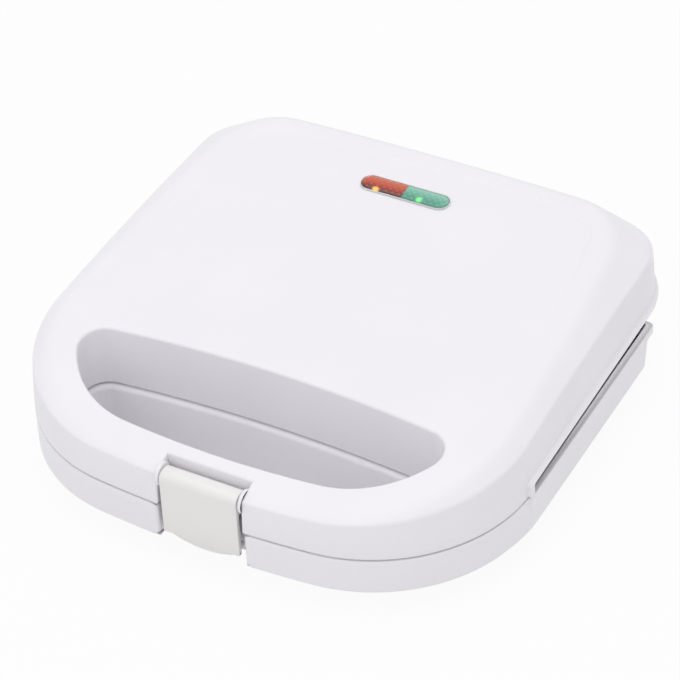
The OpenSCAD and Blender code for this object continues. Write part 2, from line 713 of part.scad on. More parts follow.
// Finger hole through the base, rounded at its upper edge
module base_hole() {
    loft([for (s = [[0, -1], [0, base_top - 2], [0.3, base_top - 0.9], [1.1, base_top - 0.15],
        [2, base_top + 0.05]])
        at_z(hole_outline(base_hole_off + s[0]), s[1])]);
}

module pan(inset, z0, z1) {
    loft([for (s = [[8.2, z0], [7, z0 + 1], [6.4, z0 + 2.6], [0, z1]])
        at_z(tray_outline(94 - inset - s[0], -60 + inset, 69 - inset - s[0], 17 - s[0]), s[1])]);
}

// Base's half of each hinge: a solid ear behind the rear wall
module base_ears() {
    for (s = [-1, 1]) {
        x0 = s * hinge_x - hinge_ear_w / 2;
        along_x(x0, x0 + hinge_ear_w) polygon([[base_rear_y - 6.8, skirt_z + 3.5],
            [hinge_y + 3, hinge_z - 3.4], [hinge_y - 2, hinge_z + 3.9], [base_rear_y - 1.5, base_top - 0.6],
            [base_rear_y - 1.5, base_top - 2.6]]);
        bar_x(hinge_y, hinge_z, 4.6, x0, x0 + hinge_ear_w);
    }
}

module base_moulding() {
    difference() {
        union() {
            base_outer();
            pan(0, pan_z, skirt_z + 1.5);
            bar_y(bush_x, bush_z, 5.6, bush_y - bush_grip, bush_y);
        }
        // hollow of the tray, less what stands in it
        difference() {
            base_hollow();
            linear_extrude(60) polygon(hole_outline(base_hole_off + wall));
            front_deck(base_top - 2.4, base_top);
            bar_y(bush_x, bush_z, 5.6, bush_y - bush_grip, bush_y);
            // box behind the latch
            translate([-base_notch_half_w - 2, front_y - 1, skirt_z])
                cube([2 * base_notch_half_w + 4, base_notch_rear_y - front_y + 3, 40]);
            for (y = post_y)
                translate([0, y, pan_z + 1]) cylinder(r = post_r, h = lower_post_top - pan_z - 1, $fn = 24);
        }
        difference() {
            pan(wall, pan_z + wall, skirt_z + wall + 0.5);
            linear_extrude(60) polygon(hole_outline(base_hole_off + wall));
            for (y = post_y) translate([0, y, pan_z + 1]) cylinder(r = post_r, h = 20, $fn = 24);
        }
        base_hole();
        difference() {
            translate([-base_notch_half_w, front_y - 10, 0])
                cube([2 * base_notch_half_w, base_notch_rear_y - front_y + 10, 60]);
            // ledge that the latch hooks under
            translate([-ledge_half_w, base_notch_rear_y - 3.8, latch_face_z + 3.9]) cube([2 * ledge_half_w, 6, 3]);
        }
    }
}

module base_shell() color(body_white) difference() {
    union() {
        one_solid() base_moulding();
        base_ears();
    }
    for (y = post_y) translate([0, y, pan_z + 8]) cylinder(r = 1.25, h = 40);
    for (s = [-1, 1]) bar_x(hinge_y, hinge_z, hinge_pin_d / 2, s * hinge_x - 12, s * hinge_x + 12);
    bar_y(bush_x, bush_z, 4.05, bush_y - 8, bush_y + 8);
    for (p = foot_places()) translate([p.x, p.y, pan_z - 1]) cylinder(r = 2.5, h = 5);
    // vents in the floor
    for (x = [-44:22:44], y = [-2, 30]) translate([x, y, pan_z - 1]) linear_extrude(5) pill(14, 3);
}

lower_post_top = plate_z - plate_gap - plate_t;

function foot_places() = [for (x = [-72, 72], y = [-24, 48]) [x, y]];

// Rubber feet, each with a stem through the floor
module feet() color([0.25, 0.25, 0.26]) {
    for (p = foot_places()) translate([p.x, p.y, 0]) rotate_extrude()
        polygon([[0, 0], [6.4, 0], [7, 0.6], [7.6, foot_h], [2.5, foot_h], [2.5, foot_h + wall],
            [3.1, foot_h + wall + 0.6], [2.2, foot_h + wall + 1.6], [0, foot_h + wall + 1.6]]);
}

module hinge_pins() color(steel) {
    for (s = [-1, 1])
        bar_x(hinge_y, hinge_z, hinge_pin_d / 2, s * hinge_x - 10, s * hinge_x + 10);
}

// Screw connector for the supply leads
module terminal_block() color("linen") difference() {
    union() {
        translate([28, 67, skirt_z + wall + 0.05]) cube([26, 6, 4.2]);
        for (i = [0:2]) translate([32.5 + 8.5 * i, 70, skirt_z + wall + 4]) cylinder(r = 2.4, h = 1.4);
    }
    for (i = [0:2]) translate([32.5 + 8.5 * i, 70, skirt_z + wall + 3]) cylinder(r = 1.5, h = 10);
}

// Bush that the supply lead would pass through
module cord_bush() color([0.9, 0.9, 0.9]) difference() {
    union() {
        bar_y(bush_x, bush_z, 4, bush_y - bush_grip - 0.6, bush_y + 1.5);
        bar_y(bush_x, bush_z, 5, bush_y + 0.05, bush_y + 1.8);
        bar_y(bush_x, bush_z, 4.35, bush_y - bush_grip - 0.7, bush_y - bush_grip - 0.05);
    }
    bar_y(bush_x, bush_z, 2.9, bush_y - 10, bush_y + 10);
}

// Wire along a run of points
module lead(pts, r) {
    one_solid() for (i = [0:len(pts) - 2]) hull() {
        translate(pts[i]) sphere(r = r, $fn = 10);
        translate(pts[i + 1]) sphere(r = r, $fn = 10);
    }
}

// Leads from the connector to the two pins of the lower heater
module base_wiring() color("firebrick") {
    z = lower_back_z - 0.05 - heater_r;
    pin_y = [heater_mid_y - heater_bend_r, heater_mid_y + heater_bend_r];
    lead([[33, 66.1, z], [33, 63.5, z], [76, 60, z], [76, pin_y[1] + 2.1, z]], 0.8);
    lead([[50, 66.1, z], [83, 63.5, z], [84, pin_y[0], z], [heater_end_x + 12.9, pin_y[0], z]], 0.8);
}

// Leads from the thermostat's tabs to the lamps
module lid_wiring() color("gold") {
    tab_z = upper_back_z + 12.77;
    leg_z = lamp_top_z - 11.23;
    lead([[thermostat_x - 3.5, heater_mid_y, tab_z], [lamp_x - 1.2, lens_y - 11, tab_z],
        [lamp_x - 1.2, lens_y - 6, leg_z], [lamp_x - 1.2, lens_y, leg_z]], 0.7);
    lead([[thermostat_x + 3.5, heater_mid_y, tab_z], [thermostat_x + 3.5, heater_mid_y + 14, tab_z + 2.4],
        [1.2 - lamp_x, lens_y - 11, tab_z + 2.4], [1.2 - lamp_x, lens_y - 6, leg_z],
        [1.2 - lamp_x, lens_y, leg_z]], 0.7);
}

lid_shell();
upper_plate();
upper_plate_screws();
upper_heater();
upper_heater_clamps();
upper_reflector();
lens_rim();
red_lens();
green_lens();
red_lamp();
green_lamp();
lamp_holder();
thermostat();
lid_wiring();
latch_pin();
latch();
base_shell();
lower_plate();
lower_plate_screws();
lower_heater();
lower_heater_clamps();
lower_reflector();
thermal_fuse();
terminal_block();
cord_bush();
base_wiring();
hinge_pins();
feet();
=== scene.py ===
import bpy, bmesh, math
import numpy as np
from mathutils import Matrix, Vector
from mathutils.geometry import delaunay_2d_cdt


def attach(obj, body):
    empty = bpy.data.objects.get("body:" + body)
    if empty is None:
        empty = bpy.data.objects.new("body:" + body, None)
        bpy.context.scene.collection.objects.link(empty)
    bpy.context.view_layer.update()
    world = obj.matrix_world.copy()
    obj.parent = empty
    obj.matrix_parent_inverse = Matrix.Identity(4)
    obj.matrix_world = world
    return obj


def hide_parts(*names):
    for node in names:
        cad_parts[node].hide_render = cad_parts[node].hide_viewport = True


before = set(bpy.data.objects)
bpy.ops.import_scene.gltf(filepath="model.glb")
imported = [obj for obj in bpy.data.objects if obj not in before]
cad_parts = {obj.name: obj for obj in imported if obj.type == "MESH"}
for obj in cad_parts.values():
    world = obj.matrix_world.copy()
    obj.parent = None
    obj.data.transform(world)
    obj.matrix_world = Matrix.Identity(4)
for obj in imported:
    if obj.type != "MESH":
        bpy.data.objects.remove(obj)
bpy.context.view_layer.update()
print("frame loaded:", len(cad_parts), "nodes")

mm = 0.001


# Camera

view = dict(position=(501.73, -839.41, 814.37), azimuth=30.773, elevation=38.422, roll=-3.0,
            focalPx=3005.58, imagePx=680)


def makeCamera():
    az, el, roll = (math.radians(view[k]) for k in ("azimuth", "elevation", "roll"))
    back = Vector((math.sin(az) * math.cos(el), -math.cos(az) * math.cos(el), math.sin(el)))
    right0 = Vector((math.cos(az), math.sin(az), 0))
    up0 = back.cross(right0)
    right = math.cos(roll) * right0 + math.sin(roll) * up0
    up = -math.sin(roll) * right0 + math.cos(roll) * up0
    cam = bpy.data.cameras.new("camera")
    cam.sensor_width = 36
    cam.lens = view["focalPx"] / view["imagePx"] * cam.sensor_width
    cam.clip_end = 20
    ob = bpy.data.objects.new("camera", cam)
    bpy.context.scene.collection.objects.link(ob)
    m = Matrix.Identity(4)
    for i, axis in enumerate((right, up, back)):
        m.col[i].xyz = axis
    m.col[3].xyz = Vector(view["position"]) * mm
    ob.matrix_world = m
    bpy.context.scene.camera = ob


makeCamera()


# Shapes in plan. All outlines are in millimetres, in the same frame as the CAD.

def arc(centre, radius, startDeg, endDeg, steps, skip=0):
    a = np.radians(np.linspace(startDeg, endDeg, steps + 1))[skip:]
    return np.c_[centre[0] + radius * np.cos(a), centre[1] + radius * np.sin(a)]


def degTo(p, q):
    return math.degrees(math.atan2(q[1] - p[1], q[0] - p[0]))


def cornerCentre(halfW, taper, r, endY, endR, sign):
    # centre of a corner of radius r between a tapered side and an end arc
    t = math.radians(taper)
    nrm, along = np.array([math.cos(t), math.sin(t)]), np.array([-math.sin(t), math.cos(t)])
    foot = (halfW * math.cos(t) - r) * nrm
    q = foot - np.array([0, endY + sign * endR])
    b = q @ along
    return foot + (-b - sign * math.sqrt(max(b * b - q @ q + (endR - r) ** 2, 0))) * along


def mirrored(right):
    # closes a right-hand half outline, which runs from the front to the rear
    left = right[::-1] * [-1, 1]
    if abs(right[-1][0]) < 1e-6:
        left = left[1:]
    if abs(right[0][0]) < 1e-6:
        left = left[:-1]
    return np.r_[right, left]


def planRight(halfW, taper, frontY, frontR, frontCorner, rearY, rearR, rearCorner, steps, startX=None,
              extraDeg=()):
    # right-hand half of an outline: front arc, front corner, side, rear corner, rear arc
    fc = cornerCentre(halfW, taper, frontCorner, frontY, frontR, 1)
    rc = cornerCentre(halfW, taper, rearCorner, rearY, rearR, -1)
    fo, ro = np.array([0, frontY + frontR]), np.array([0, rearY - rearR])
    fa, ra = degTo(fo, fc), degTo(ro, rc)
    if startX is None:
        first = arc(fo, frontR, -90, fa, steps[0])
    else:
        # columns close together beside an opening, then evenly on to the corner
        a = np.degrees(np.arcsin(np.array(startX) / frontR)) - 90
        a = np.radians(np.r_[a, np.linspace(a[-1], fa, steps[0] + 1)[1:]])
        first = np.c_[fo[0] + frontR * np.cos(a), fo[1] + frontR * np.sin(a)]
    turn = np.linspace(fa, taper, steps[1] + 1)[1:]
    if len(extraDeg):
        # columns where the side steps
        turn = np.r_[turn[turn < extraDeg[0] - 0.3], extraDeg, taper]
    t = np.radians(turn)
    second = np.c_[fc[0] + frontCorner * np.cos(t), fc[1] + frontCorner * np.sin(t)]
    n = np.array([math.cos(math.radians(taper)), math.sin(math.radians(taper))])
    a, b = fc + frontCorner * n, rc + rearCorner * n
    side = a + (b - a) * np.linspace(0, 1, steps[4] + 1)[1:-1, None]
    return np.r_[first, second, side, arc(rc, rearCorner, taper, ra, steps[2]),
                 arc(ro, rearR, ra, 90, steps[3], 1)]


body = dict(halfW=109.2, taper=1.15, frontY=-112.0, frontR=486.0, frontCorner=68.0, rearR=1990.0,
            partingZ=28.6, gap=1.0, wallRearY=107.85, wallCorner=30.0, rimZ=36.8, rimSlope=1.55,
            stepY=-42.7, stepDeg=(-2.3, -1.79, -1.45, -1.11, -0.86, -0.61, -0.35, -0.1, 0.24, 0.74),
            baseRearY=82.0, sideStep=1.1, skirtZ=12.0, skirtIn=-6.1, deckRearY=-46.1,
            frontEndY=-90, ledgeRise=1.5)
hole = dict(halfW=87.7, cornerR=47.5, endR=10.0, frontY=-95.2, rearY=-50.1, frontR=495.0, rearR=658.0,
            lidEdge=1.3, baseEdge=2.0, baseOff=-1.8)
notch = dict(lidHalf=19.3, lidRearY=-101.2, baseHalf=19.8, baseRearY=-103.6, edge=0.8, baseEdge=1.5,
             lowCornerR=3.0, highCornerR=1.8, cornerFade=7, pivot=(-106.9, 41.8))
panel = dict(halfW=93.3, frontY=-75, rearY=84.3, cornerR=18, taper=8.2, depth=0.7, edge=0.9,
             fadeY=-60, fadeRun=145)
lens = dict(length=42.1, width=9.4, x=-1.4, y=65.8)

lidBottom = body["partingZ"] + body["gap"] / 2
baseTop = body["partingZ"] - body["gap"] / 2
fineSteps = (22, 60, 30, 10, 60)


def bodyRight(off, rearY, rearCorner, steps=fineSteps, startX=None):
    return planRight(body["halfW"] + off, body["taper"], body["frontY"] - off, body["frontR"] + off,
                     body["frontCorner"] + off, rearY + off, body["rearR"], rearCorner + off, steps, startX,
                     body["stepDeg"])


def sideX(y, off):
    # where the right side stands at y, on the front corner or the straight run behind it
    fc = cornerCentre(body["halfW"], body["taper"], body["frontCorner"], body["frontY"], body["frontR"], 1)
    t = math.radians(body["taper"])
    straight = body["halfW"] + off - math.tan(t) * y
    bend = fc[0] + np.sqrt(np.maximum((body["frontCorner"] + off) ** 2 - (y - fc[1]) ** 2, 0))
    return np.where(y < fc[1] + (body["frontCorner"] + off) * math.sin(t), bend, straight)


def holeOutline(off, steps=(24, 34, 24, 24)):
    # the finger hole, moved outwards by off
    h = hole
    corner = cornerCentre(h["halfW"], 0, h["cornerR"], h["frontY"], h["frontR"], 1)
    front, rear = np.array([0, h["frontY"] + h["frontR"]]), np.array([0, h["rearY"] - h["rearR"]])
    d = rear - corner
    n = np.linalg.norm(d)
    r1, r2 = h["cornerR"] - h["endR"], h["rearR"] - h["endR"]
    a = (r1 ** 2 - r2 ** 2 + n * n) / (2 * n)
    end = corner + (a * d + math.sqrt(r1 ** 2 - a * a) * np.array([-d[1], d[0]])) / n
    fa, ca, ra = degTo(front, corner), degTo(corner, end), degTo(rear, end)
    return mirrored(np.r_[arc(front, h["frontR"] + off, -90, fa, steps[0]),
                          arc(corner, h["cornerR"] + off, fa, ca, steps[1], 1),
                          arc(end, h["endR"] + off, ca, ra, steps[2], 1),
                          arc(rear, h["rearR"] + off, ra, 90, steps[3], 1)])


def trayOutline(halfW, frontY, rearY, r, taper, steps=(4, 10, 10, 4, 6)):
    # rectangle-like outline with almost straight ends
    return mirrored(planRight(halfW, taper, frontY, 3000, r, rearY, 3000, r, steps))


def pillOutline(length, width, steps=20):
    r, c = width / 2, (length - width) / 2
    return np.r_[arc((c, 0), r, -90, 90, steps), arc((-c, 0), r, 90, 270, steps)]


def smooth(t):
    t = np.clip(t, 0, 1)
    return t * t * (3 - 2 * t)


def polyDistance(pts, poly):
    # distance from each point to a closed line, and whether the point is inside it
    out, ins = [], []
    a = poly[None]
    ab = np.roll(poly, -1, 0)[None] - a
    b = a + ab
    for part in np.array_split(np.asarray(pts, float), max(len(pts) // 4000, 1)):
        p = part[:, None, :]
        t = np.clip(((p - a) * ab).sum(2) / np.maximum((ab ** 2).sum(2), 1e-12), 0, 1)
        out.append(np.sqrt((((p - a - t[..., None] * ab) ** 2).sum(2)).min(1)))
        cross = (a[..., 1] > p[..., 1]) != (b[..., 1] > p[..., 1])
        with np.errstate(divide="ignore", invalid="ignore"):
            xi = a[..., 0] + (p[..., 1] - a[..., 1]) * ab[..., 0] / ab[..., 1]
        ins.append((cross & (p[..., 0] < xi)).sum(1) % 2 == 1)
    return np.concatenate(out), np.concatenate(ins)


# The lid's crown as a height over the plan

crown = dict(shoulderZ=44.4, shoulderRise=0.1319, shoulderBend=0.000366, bendY=-40, shoulderRound=2.4,
             bevel=39.0, rearBevel=50.3, rearDrop=1.7, slope=6.2, startY=-45.0, startZ=59.2, frontR=300.0,
             blend=2.5, rearY=104.2, rearCorner=27.3, halfW=108.2)


def topHeight(y):
    # the flat slope along the middle, which bends down towards the front
    back = np.maximum(crown["startY"] - y, 0)
    rise = math.tan(math.radians(crown["slope"])) * (y - crown["startY"])
    return crown["startZ"] + rise - back ** 2 / (2 * crown["frontR"])


def bevelRise(d, m):
    # rise of the bevelled side of slope m at a distance d in from the shoulder, with the shoulder's round
    r, q = crown["shoulderRound"], np.sqrt(1 + m * m)
    roundPart = r * (m - q) + np.sqrt(np.maximum(r * r - (r - np.minimum(d, r)) ** 2, 0))
    return np.where(d < r * (1 - m / q), roundPart, m * d)


def softMin(a, b, k):
    # the lower of two heights, blended where they come within k of each other
    h = np.maximum(k - np.abs(a - b), 0) / k
    return np.minimum(a, b) - h * h * k / 4


def inFromShoulder(pts):
    # distance in from the shoulder line, and how far that line faces the rear
    x, y = np.abs(pts[:, 0]), pts[:, 1]
    t, r = math.tan(math.radians(body["taper"])), crown["rearCorner"]
    ds = crown["halfW"] - t * y - x
    dr = body["rearR"] - np.hypot(x, y - crown["rearY"] + body["rearR"])
    gap = ds - dr
    corner = (ds + dr - 2 * r + np.sqrt(np.maximum(2 * r * r - gap ** 2, 0))) / 2
    d = np.where(np.abs(gap) < r, corner, np.minimum(ds, dr))
    rear = np.where(np.abs(gap) < r, (r - dr + d) / r, np.where(gap > 0, 1.0, 0.0))
    fc = cornerCentre(body["halfW"], body["taper"], body["frontCorner"], body["frontY"], body["frontR"], 1)
    fo = np.array([0, body["frontY"] + body["frontR"]])
    fa = degTo(fo, fc)
    bend = body["frontCorner"] - 1 - np.hypot(x - fc[0], y - fc[1])
    front = body["frontR"] - 1 - np.hypot(x - fo[0], y - fo[1])
    angle = np.degrees(np.arctan2(y - fo[1], x - fo[0]))
    d = np.where(angle < fa, np.minimum(front, d), np.where((y < fc[1]) & (x > fc[0]), bend, d))
    return np.maximum(d, 0), np.clip(rear, 0, 1)


def panelLine(off, **steps):
    return trayOutline(panel["halfW"] + off, panel["frontY"] - off, panel["rearY"] + off,
                       panel["cornerR"] + off, taper=panel["taper"], **steps)


def windowPlan():
    p = pillOutline(lens["length"], lens["width"])
    return np.c_[lens["x"] + p[:, 0], lens["y"] + p[:, 1] * math.cos(math.radians(crown["slope"]))]


panelPoly, windowLine = panelLine(0), windowPlan()


def crownHeight(pts):
    # height of the lid's top at points inside the shoulder line
    pts = np.asarray(pts, float)
    d, rear = inFromShoulder(pts)
    m0, m1 = math.tan(math.radians(crown["bevel"])), math.tan(math.radians(crown["rearBevel"]))
    y = pts[:, 1]
    # the shoulder line climbs towards the rear in a shallow arch and drops a little round the rear
    f = y - body["frontY"]
    shoulder = crown["shoulderZ"] + crown["shoulderRise"] * f
    shoulder = shoulder - crown["shoulderBend"] * f * (y - crown["bendY"]) - crown["rearDrop"] * rear ** 2
    z = softMin(topHeight(y), shoulder + bevelRise(d, m0 + (m1 - m0) * rear ** 2), crown["blend"])
    # the sunk panel fades out towards the handle
    e, inside = polyDistance(pts, panelPoly)
    depth = panel["depth"] * np.clip((y - panel["fadeY"]) / panel["fadeRun"], 0, 1)
    return z - depth * smooth((np.where(inside, e, -e) + panel["edge"]) / (2 * panel["edge"]))


def rimHeight(y):
    return body["rimZ"] + math.tan(math.radians(body["rimSlope"])) * y


def edgeDrop(d, r):
    # how far a rounded edge of radius r has fallen at a distance d from the wall
    return r - np.sqrt(np.maximum(r * r - (r - np.minimum(d, r)) ** 2, 0))


edgeSteps = np.array([0, 0.02, 0.08, 0.18, 0.32, 0.5, 0.74, 1.0])


def at(pts, z):
    pts = np.asarray(pts)
    return np.c_[pts, np.broadcast_to(z, len(pts))]


class Builder:
    # gathers vertices and faces of one mesh, in millimetres

    def __init__(self):
        self.v, self.f, self.n = [], [], 0

    def add(self, verts, faces):
        verts = np.asarray(verts, float)
        self.v.append(verts)
        self.f += [tuple(int(i) + self.n for i in f) for f in faces]
        self.n += len(verts)

    def strip(self, rings, closed=True, flip=False):
        # quads between rings that have the same number of points
        rings = [np.asarray(r, float) for r in rings]
        n = len(rings[0])
        faces = []
        for k in range(len(rings) - 1):
            for i in range(n if closed else n - 1):
                j = (i + 1) % n
                q = (k * n + i, k * n + j, (k + 1) * n + j, (k + 1) * n + i)
                faces.append(q[::-1] if flip else q)
        self.add(np.concatenate(rings), faces)

    def sheet(self, loops, inner, heightOf, spacing=0, flip=False, extra=()):
        # triangulated region inside loops[0], outside the other loops, through the lines in inner
        pts, edges = [], []
        for lp, closed in [(l, True) for l in loops] + list(inner):
            base, m = len(pts), len(lp)
            pts += [tuple(p) for p in lp]
            edges += [(base + i, base + (i + 1) % m) for i in range(m if closed else m - 1)]
        pts += [tuple(p) for p in extra]
        if spacing:
            lo, hi = loops[0].min(0), loops[0].max(0)
            xs = np.arange(lo[0] + spacing / 2, hi[0], spacing)
            ys = np.arange(lo[1] + spacing / 2, hi[1], spacing)
            g = np.stack(np.meshgrid(xs, ys), -1).reshape(-1, 2)
            g[:, 0] += np.where(np.round((g[:, 1] - lo[1]) / spacing).astype(int) % 2 == 0, 0, spacing / 2)
            keep = np.ones(len(g), bool)
            for k, lp in enumerate(loops):
                d, ins = polyDistance(g, lp)
                keep &= (d > 0.5 * spacing) & (ins if k == 0 else ~ins)
            for lp, closed in inner:
                keep &= polyDistance(g, lp)[0] > 0.5 * spacing
            pts += [tuple(p) for p in g[keep]]
        vs, _, fs, *_ = delaunay_2d_cdt([Vector(p) for p in pts], edges, [], 0, 1e-6)
        v2 = np.array([(p.x, p.y) for p in vs])
        tri = np.array([f for f in fs if len(f) == 3])
        c = v2[tri].mean(1)
        keep = polyDistance(c, np.asarray(loops[0]))[1]
        for lp in loops[1:]:
            keep &= ~polyDistance(c, np.asarray(lp))[1]
        tri = tri[keep]
        a, b, cc = v2[tri[:, 0]], v2[tri[:, 1]], v2[tri[:, 2]]
        area = (b[:, 0] - a[:, 0]) * (cc[:, 1] - a[:, 1]) - (b[:, 1] - a[:, 1]) * (cc[:, 0] - a[:, 0])
        tri, area = tri[np.abs(area) > 1e-7], area[np.abs(area) > 1e-7]
        wrong = (area < 0) != flip
        tri[wrong] = tri[wrong][:, ::-1]
        z = heightOf(v2) if callable(heightOf) else np.full(len(v2), float(heightOf))
        self.add(np.c_[v2, z], [tuple(t) for t in tri])

    def borrow(self, node, keep):
        # takes over the faces of a CAD node that keep(centres, normals) picks, such as its inside
        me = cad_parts[node].data
        verts = np.array([v.co[:] for v in me.vertices]) / mm
        faces = [tuple(p.vertices) for p in me.polygons]
        centres = np.array([p.center[:] for p in me.polygons]) / mm
        normals = np.array([p.normal[:] for p in me.polygons])
        picked = keep(centres, normals)
        self.add(verts, [f for f, k in zip(faces, picked) if k])

    def piece(self, name, rides, merge=0.004, sharp=38):
        me = bpy.data.meshes.new(name)
        me.from_pydata((np.concatenate(self.v) * mm).tolist(), [], self.f)
        bm = bmesh.new()
        bm.from_mesh(me)
        bmesh.ops.delete(bm, geom=[v for v in bm.verts if not v.link_faces], context="VERTS")
        bmesh.ops.remove_doubles(bm, verts=bm.verts, dist=merge * mm)
        bmesh.ops.dissolve_degenerate(bm, edges=bm.edges, dist=0.001 * mm)
        shade(bm, sharp)
        bm.to_mesh(me)
        bm.free()
        ob = bpy.data.objects.new(name, me)
        bpy.context.scene.collection.objects.link(ob)
        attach(ob, rides)
        return ob


def shade(bm, sharp):
    # smooth shading with edges kept crisp where faces meet at more than the given angle
    for f in bm.faces:
        f.smooth = True
    for e in bm.edges:
        e.smooth = not (len(e.link_faces) == 2 and e.calc_face_angle(0) > math.radians(sharp))


# Lid housing

lidStartX = notch["lidHalf"] + edgeSteps * notch["edge"]
holeLine = holeOutline(0)
lidEar = dict(fromX=52, toX=72, fromY=85)
# how deep the drawn skin reaches: CAD faces within it are left out
lidSkin = dict(wall=1.25, top=1.3, opening=0.3, windowTop=3.5)


def lidWallAt(off):
    return mirrored(bodyRight(off, body["wallRearY"], body["wallCorner"], startX=lidStartX))


def crownAt(d):
    # a line round the crown, d in from the shoulder
    return mirrored(bodyRight(-1 - d, crown["rearY"] + 1, crown["rearCorner"] + 1 + d, startX=lidStartX))


def lidHeight(p):
    # the crown, rolled over at the finger hole and the notch
    z = crownHeight(p) - edgeDrop(polyDistance(p, holeLine)[0], hole["lidEdge"])
    aside = np.maximum(np.abs(p[:, 0]) - notch["lidHalf"], p[:, 1] - notch["lidRearY"])
    return z - edgeDrop(np.maximum(aside, 0), notch["edge"]) * (aside < notch["edge"])


def stepLower(y):
    # height of the lid wall's lower edge, which steps up behind the front corners
    return np.where(y < body["stepY"], lidBottom, rimHeight(y) + rail["halfThick"])


# the rim's rail: how far it stands out, its rear line, and the bead that turns down at its front end
rail = dict(reach=2.35, halfThick=0.75, rearY=109.65, rearCorner=37, beadW=2.8, beadIn=1.4, beadFootZ=30.4)


def railLine(off):
    # from the bead at the front corner to the middle of the rear, in plan
    line = bodyRight(off, rail["rearY"], rail["rearCorner"])
    y = body["stepY"] + rail["beadIn"] + np.array([0, 0.4])
    return np.r_[np.c_[sideX(y, off), y], line[(line[:, 1] > body["stepY"] + 2.2)]]


def makeRail(b):
    # profile: distance in from the outer edge, and height as a share of the half thickness
    half = [(4, 1), (1.2, 1), (0.75, 0.97), (0.4, 0.84), (0.16, 0.6), (0.03, 0.28), (0, 0)]
    profile = half + [(o, -t) for o, t in half[-2::-1]]
    count = min(len(railLine(rail["reach"] - o)) for o, t in profile)
    rows = []
    for o, t in profile:
        off = rail["reach"] - o
        run = railLine(off)[:count]
        run[-1, 0] = 0
        mid = rimHeight(run[:, 1]) + rail["halfThick"]
        run = np.c_[run, mid + rail["halfThick"] * t]
        # the bead: outer line through a bend and down, inner line straight down
        a = np.radians(np.linspace(90, 180, 9)[1:])
        y0, halfW = body["stepY"] + rail["beadIn"], rail["beadW"] / 2
        z0 = float(rimHeight(y0))
        outer = np.c_[y0 + rail["beadW"] * np.cos(a), z0 - 1.3 + rail["beadW"] * np.sin(a)]
        inner = np.c_[y0 + 0.3 * np.cos(a), z0 - 0.9 * (1 - np.sin(a))]
        downZ = np.array([33, 31.5, 30.6])
        outer = np.r_[outer, np.c_[np.full(3, y0 - rail["beadW"]), downZ]]
        inner = np.r_[inner, np.c_[np.full(3, y0), downZ]]
        e = np.radians(np.array([15, 35, 55, 75, 88]))
        endY, endZ = halfW * np.cos(e), rail["beadFootZ"] - 1.3 * np.sin(e)
        outer = np.r_[outer, np.c_[y0 - halfW - endY, endZ]]
        inner = np.r_[inner, np.c_[y0 - halfW + endY, endZ]]
        yz = (outer + inner) / 2 + t * (outer - inner) / 2
        bead = np.c_[sideX(yz[:, 0], off), yz][::-1]
        rows.append(np.r_[bead, run])
    for s in (1, -1):
        b.strip([r * [s, 1, 1] for r in rows], closed=False, flip=s > 0)


def softenNotch(grid, half, edge, rearY):
    # rolls a wall over where it meets the sides of the latch notch
    nrm = np.cross(np.gradient(grid, axis=1), np.gradient(grid, axis=0))
    nrm /= np.maximum(np.linalg.norm(nrm, axis=2, keepdims=True), 1e-9)
    fall = edgeDrop(np.abs(grid[:, :, 0]) - half, edge)
    near = (grid[:, :, 1] < rearY) & (np.abs(grid[:, :, 0]) < half + edge + 0.01)
    return grid - nrm * (fall * near)[..., None]


def lidWall(b):
    # rings from the parting line up the wall and in over the shoulder
    low, mid, shoulder = lidWallAt(0), lidWallAt(-0.4), crownAt(0)
    zLow = stepLower(low[:, 1])
    zMid = np.maximum(body["rimZ"] + 2.0, zLow + 0.6)
    rings = [at(lidWallAt(off), zLow + up) for off, up in
             ((-1.2, 0), (-0.5, 0), (-0.2, 0.06), (-0.06, 0.2), (0, 0.5))]
    rings.append(np.c_[(low + mid) / 2, (zLow + 0.5 + zMid) / 2])
    rings.append(at(mid, zMid + 0.3))
    topWall = crownHeight(shoulder)
    for t in (0.35, 0.7, 1):
        rings.append(np.c_[mid + (shoulder - mid) * t, zMid + 0.3 + (topWall - zMid - 0.3) * t])
    for d in (0.04, 0.15, 0.35, 0.65, 1.05, 1.55, 2.15, 3, 4.4, 6):
        p = crownAt(d)
        rings.append(np.c_[p, crownHeight(p)])
    grid = softenNotch(np.array(rings), notch["lidHalf"], notch["edge"], notch["lidRearY"] + notch["edge"])
    b.strip(grid, closed=False)
    return grid


def lidTop(b):
    # from the wall's last ring inwards, round the notch, the finger hole and the window
    last, half, rearY = crownAt(6), notch["lidHalf"], notch["lidRearY"]
    notchLines = []
    for o in edgeSteps * notch["edge"]:
        k = int(np.argmin(np.abs(last[: len(lidStartX), 0] - (half + o))))
        side = np.c_[np.full(5, half + o), np.linspace(last[k, 1], rearY + o, 5)]
        xs = np.linspace(half + o, -half - o, 31)
        notchLines.append(np.r_[side, np.c_[xs[1:-1], np.full(29, rearY + o)], side[::-1] * [-1, 1]])
    outer = np.r_[last, notchLines[0][::-1][1:-1]]
    lines = [(holeOutline(o), True) for o in edgeSteps[1:] * hole["lidEdge"]]
    lines += [(line, False) for line in notchLines[1:]]
    # points along the sunk panel's soft edge
    ridge = []
    for o in (-1.2, -0.8, -0.4, 0, 0.4, 0.8, 1.2):
        line = panelLine(o, steps=(4, 10, 14, 40, 50))
        ridge.append(line[line[:, 1] > -32])
    b.sheet([outer, holeLine, windowLine], lines, lidHeight, spacing=1.5, extra=np.concatenate(ridge))
    return notchLines[0]


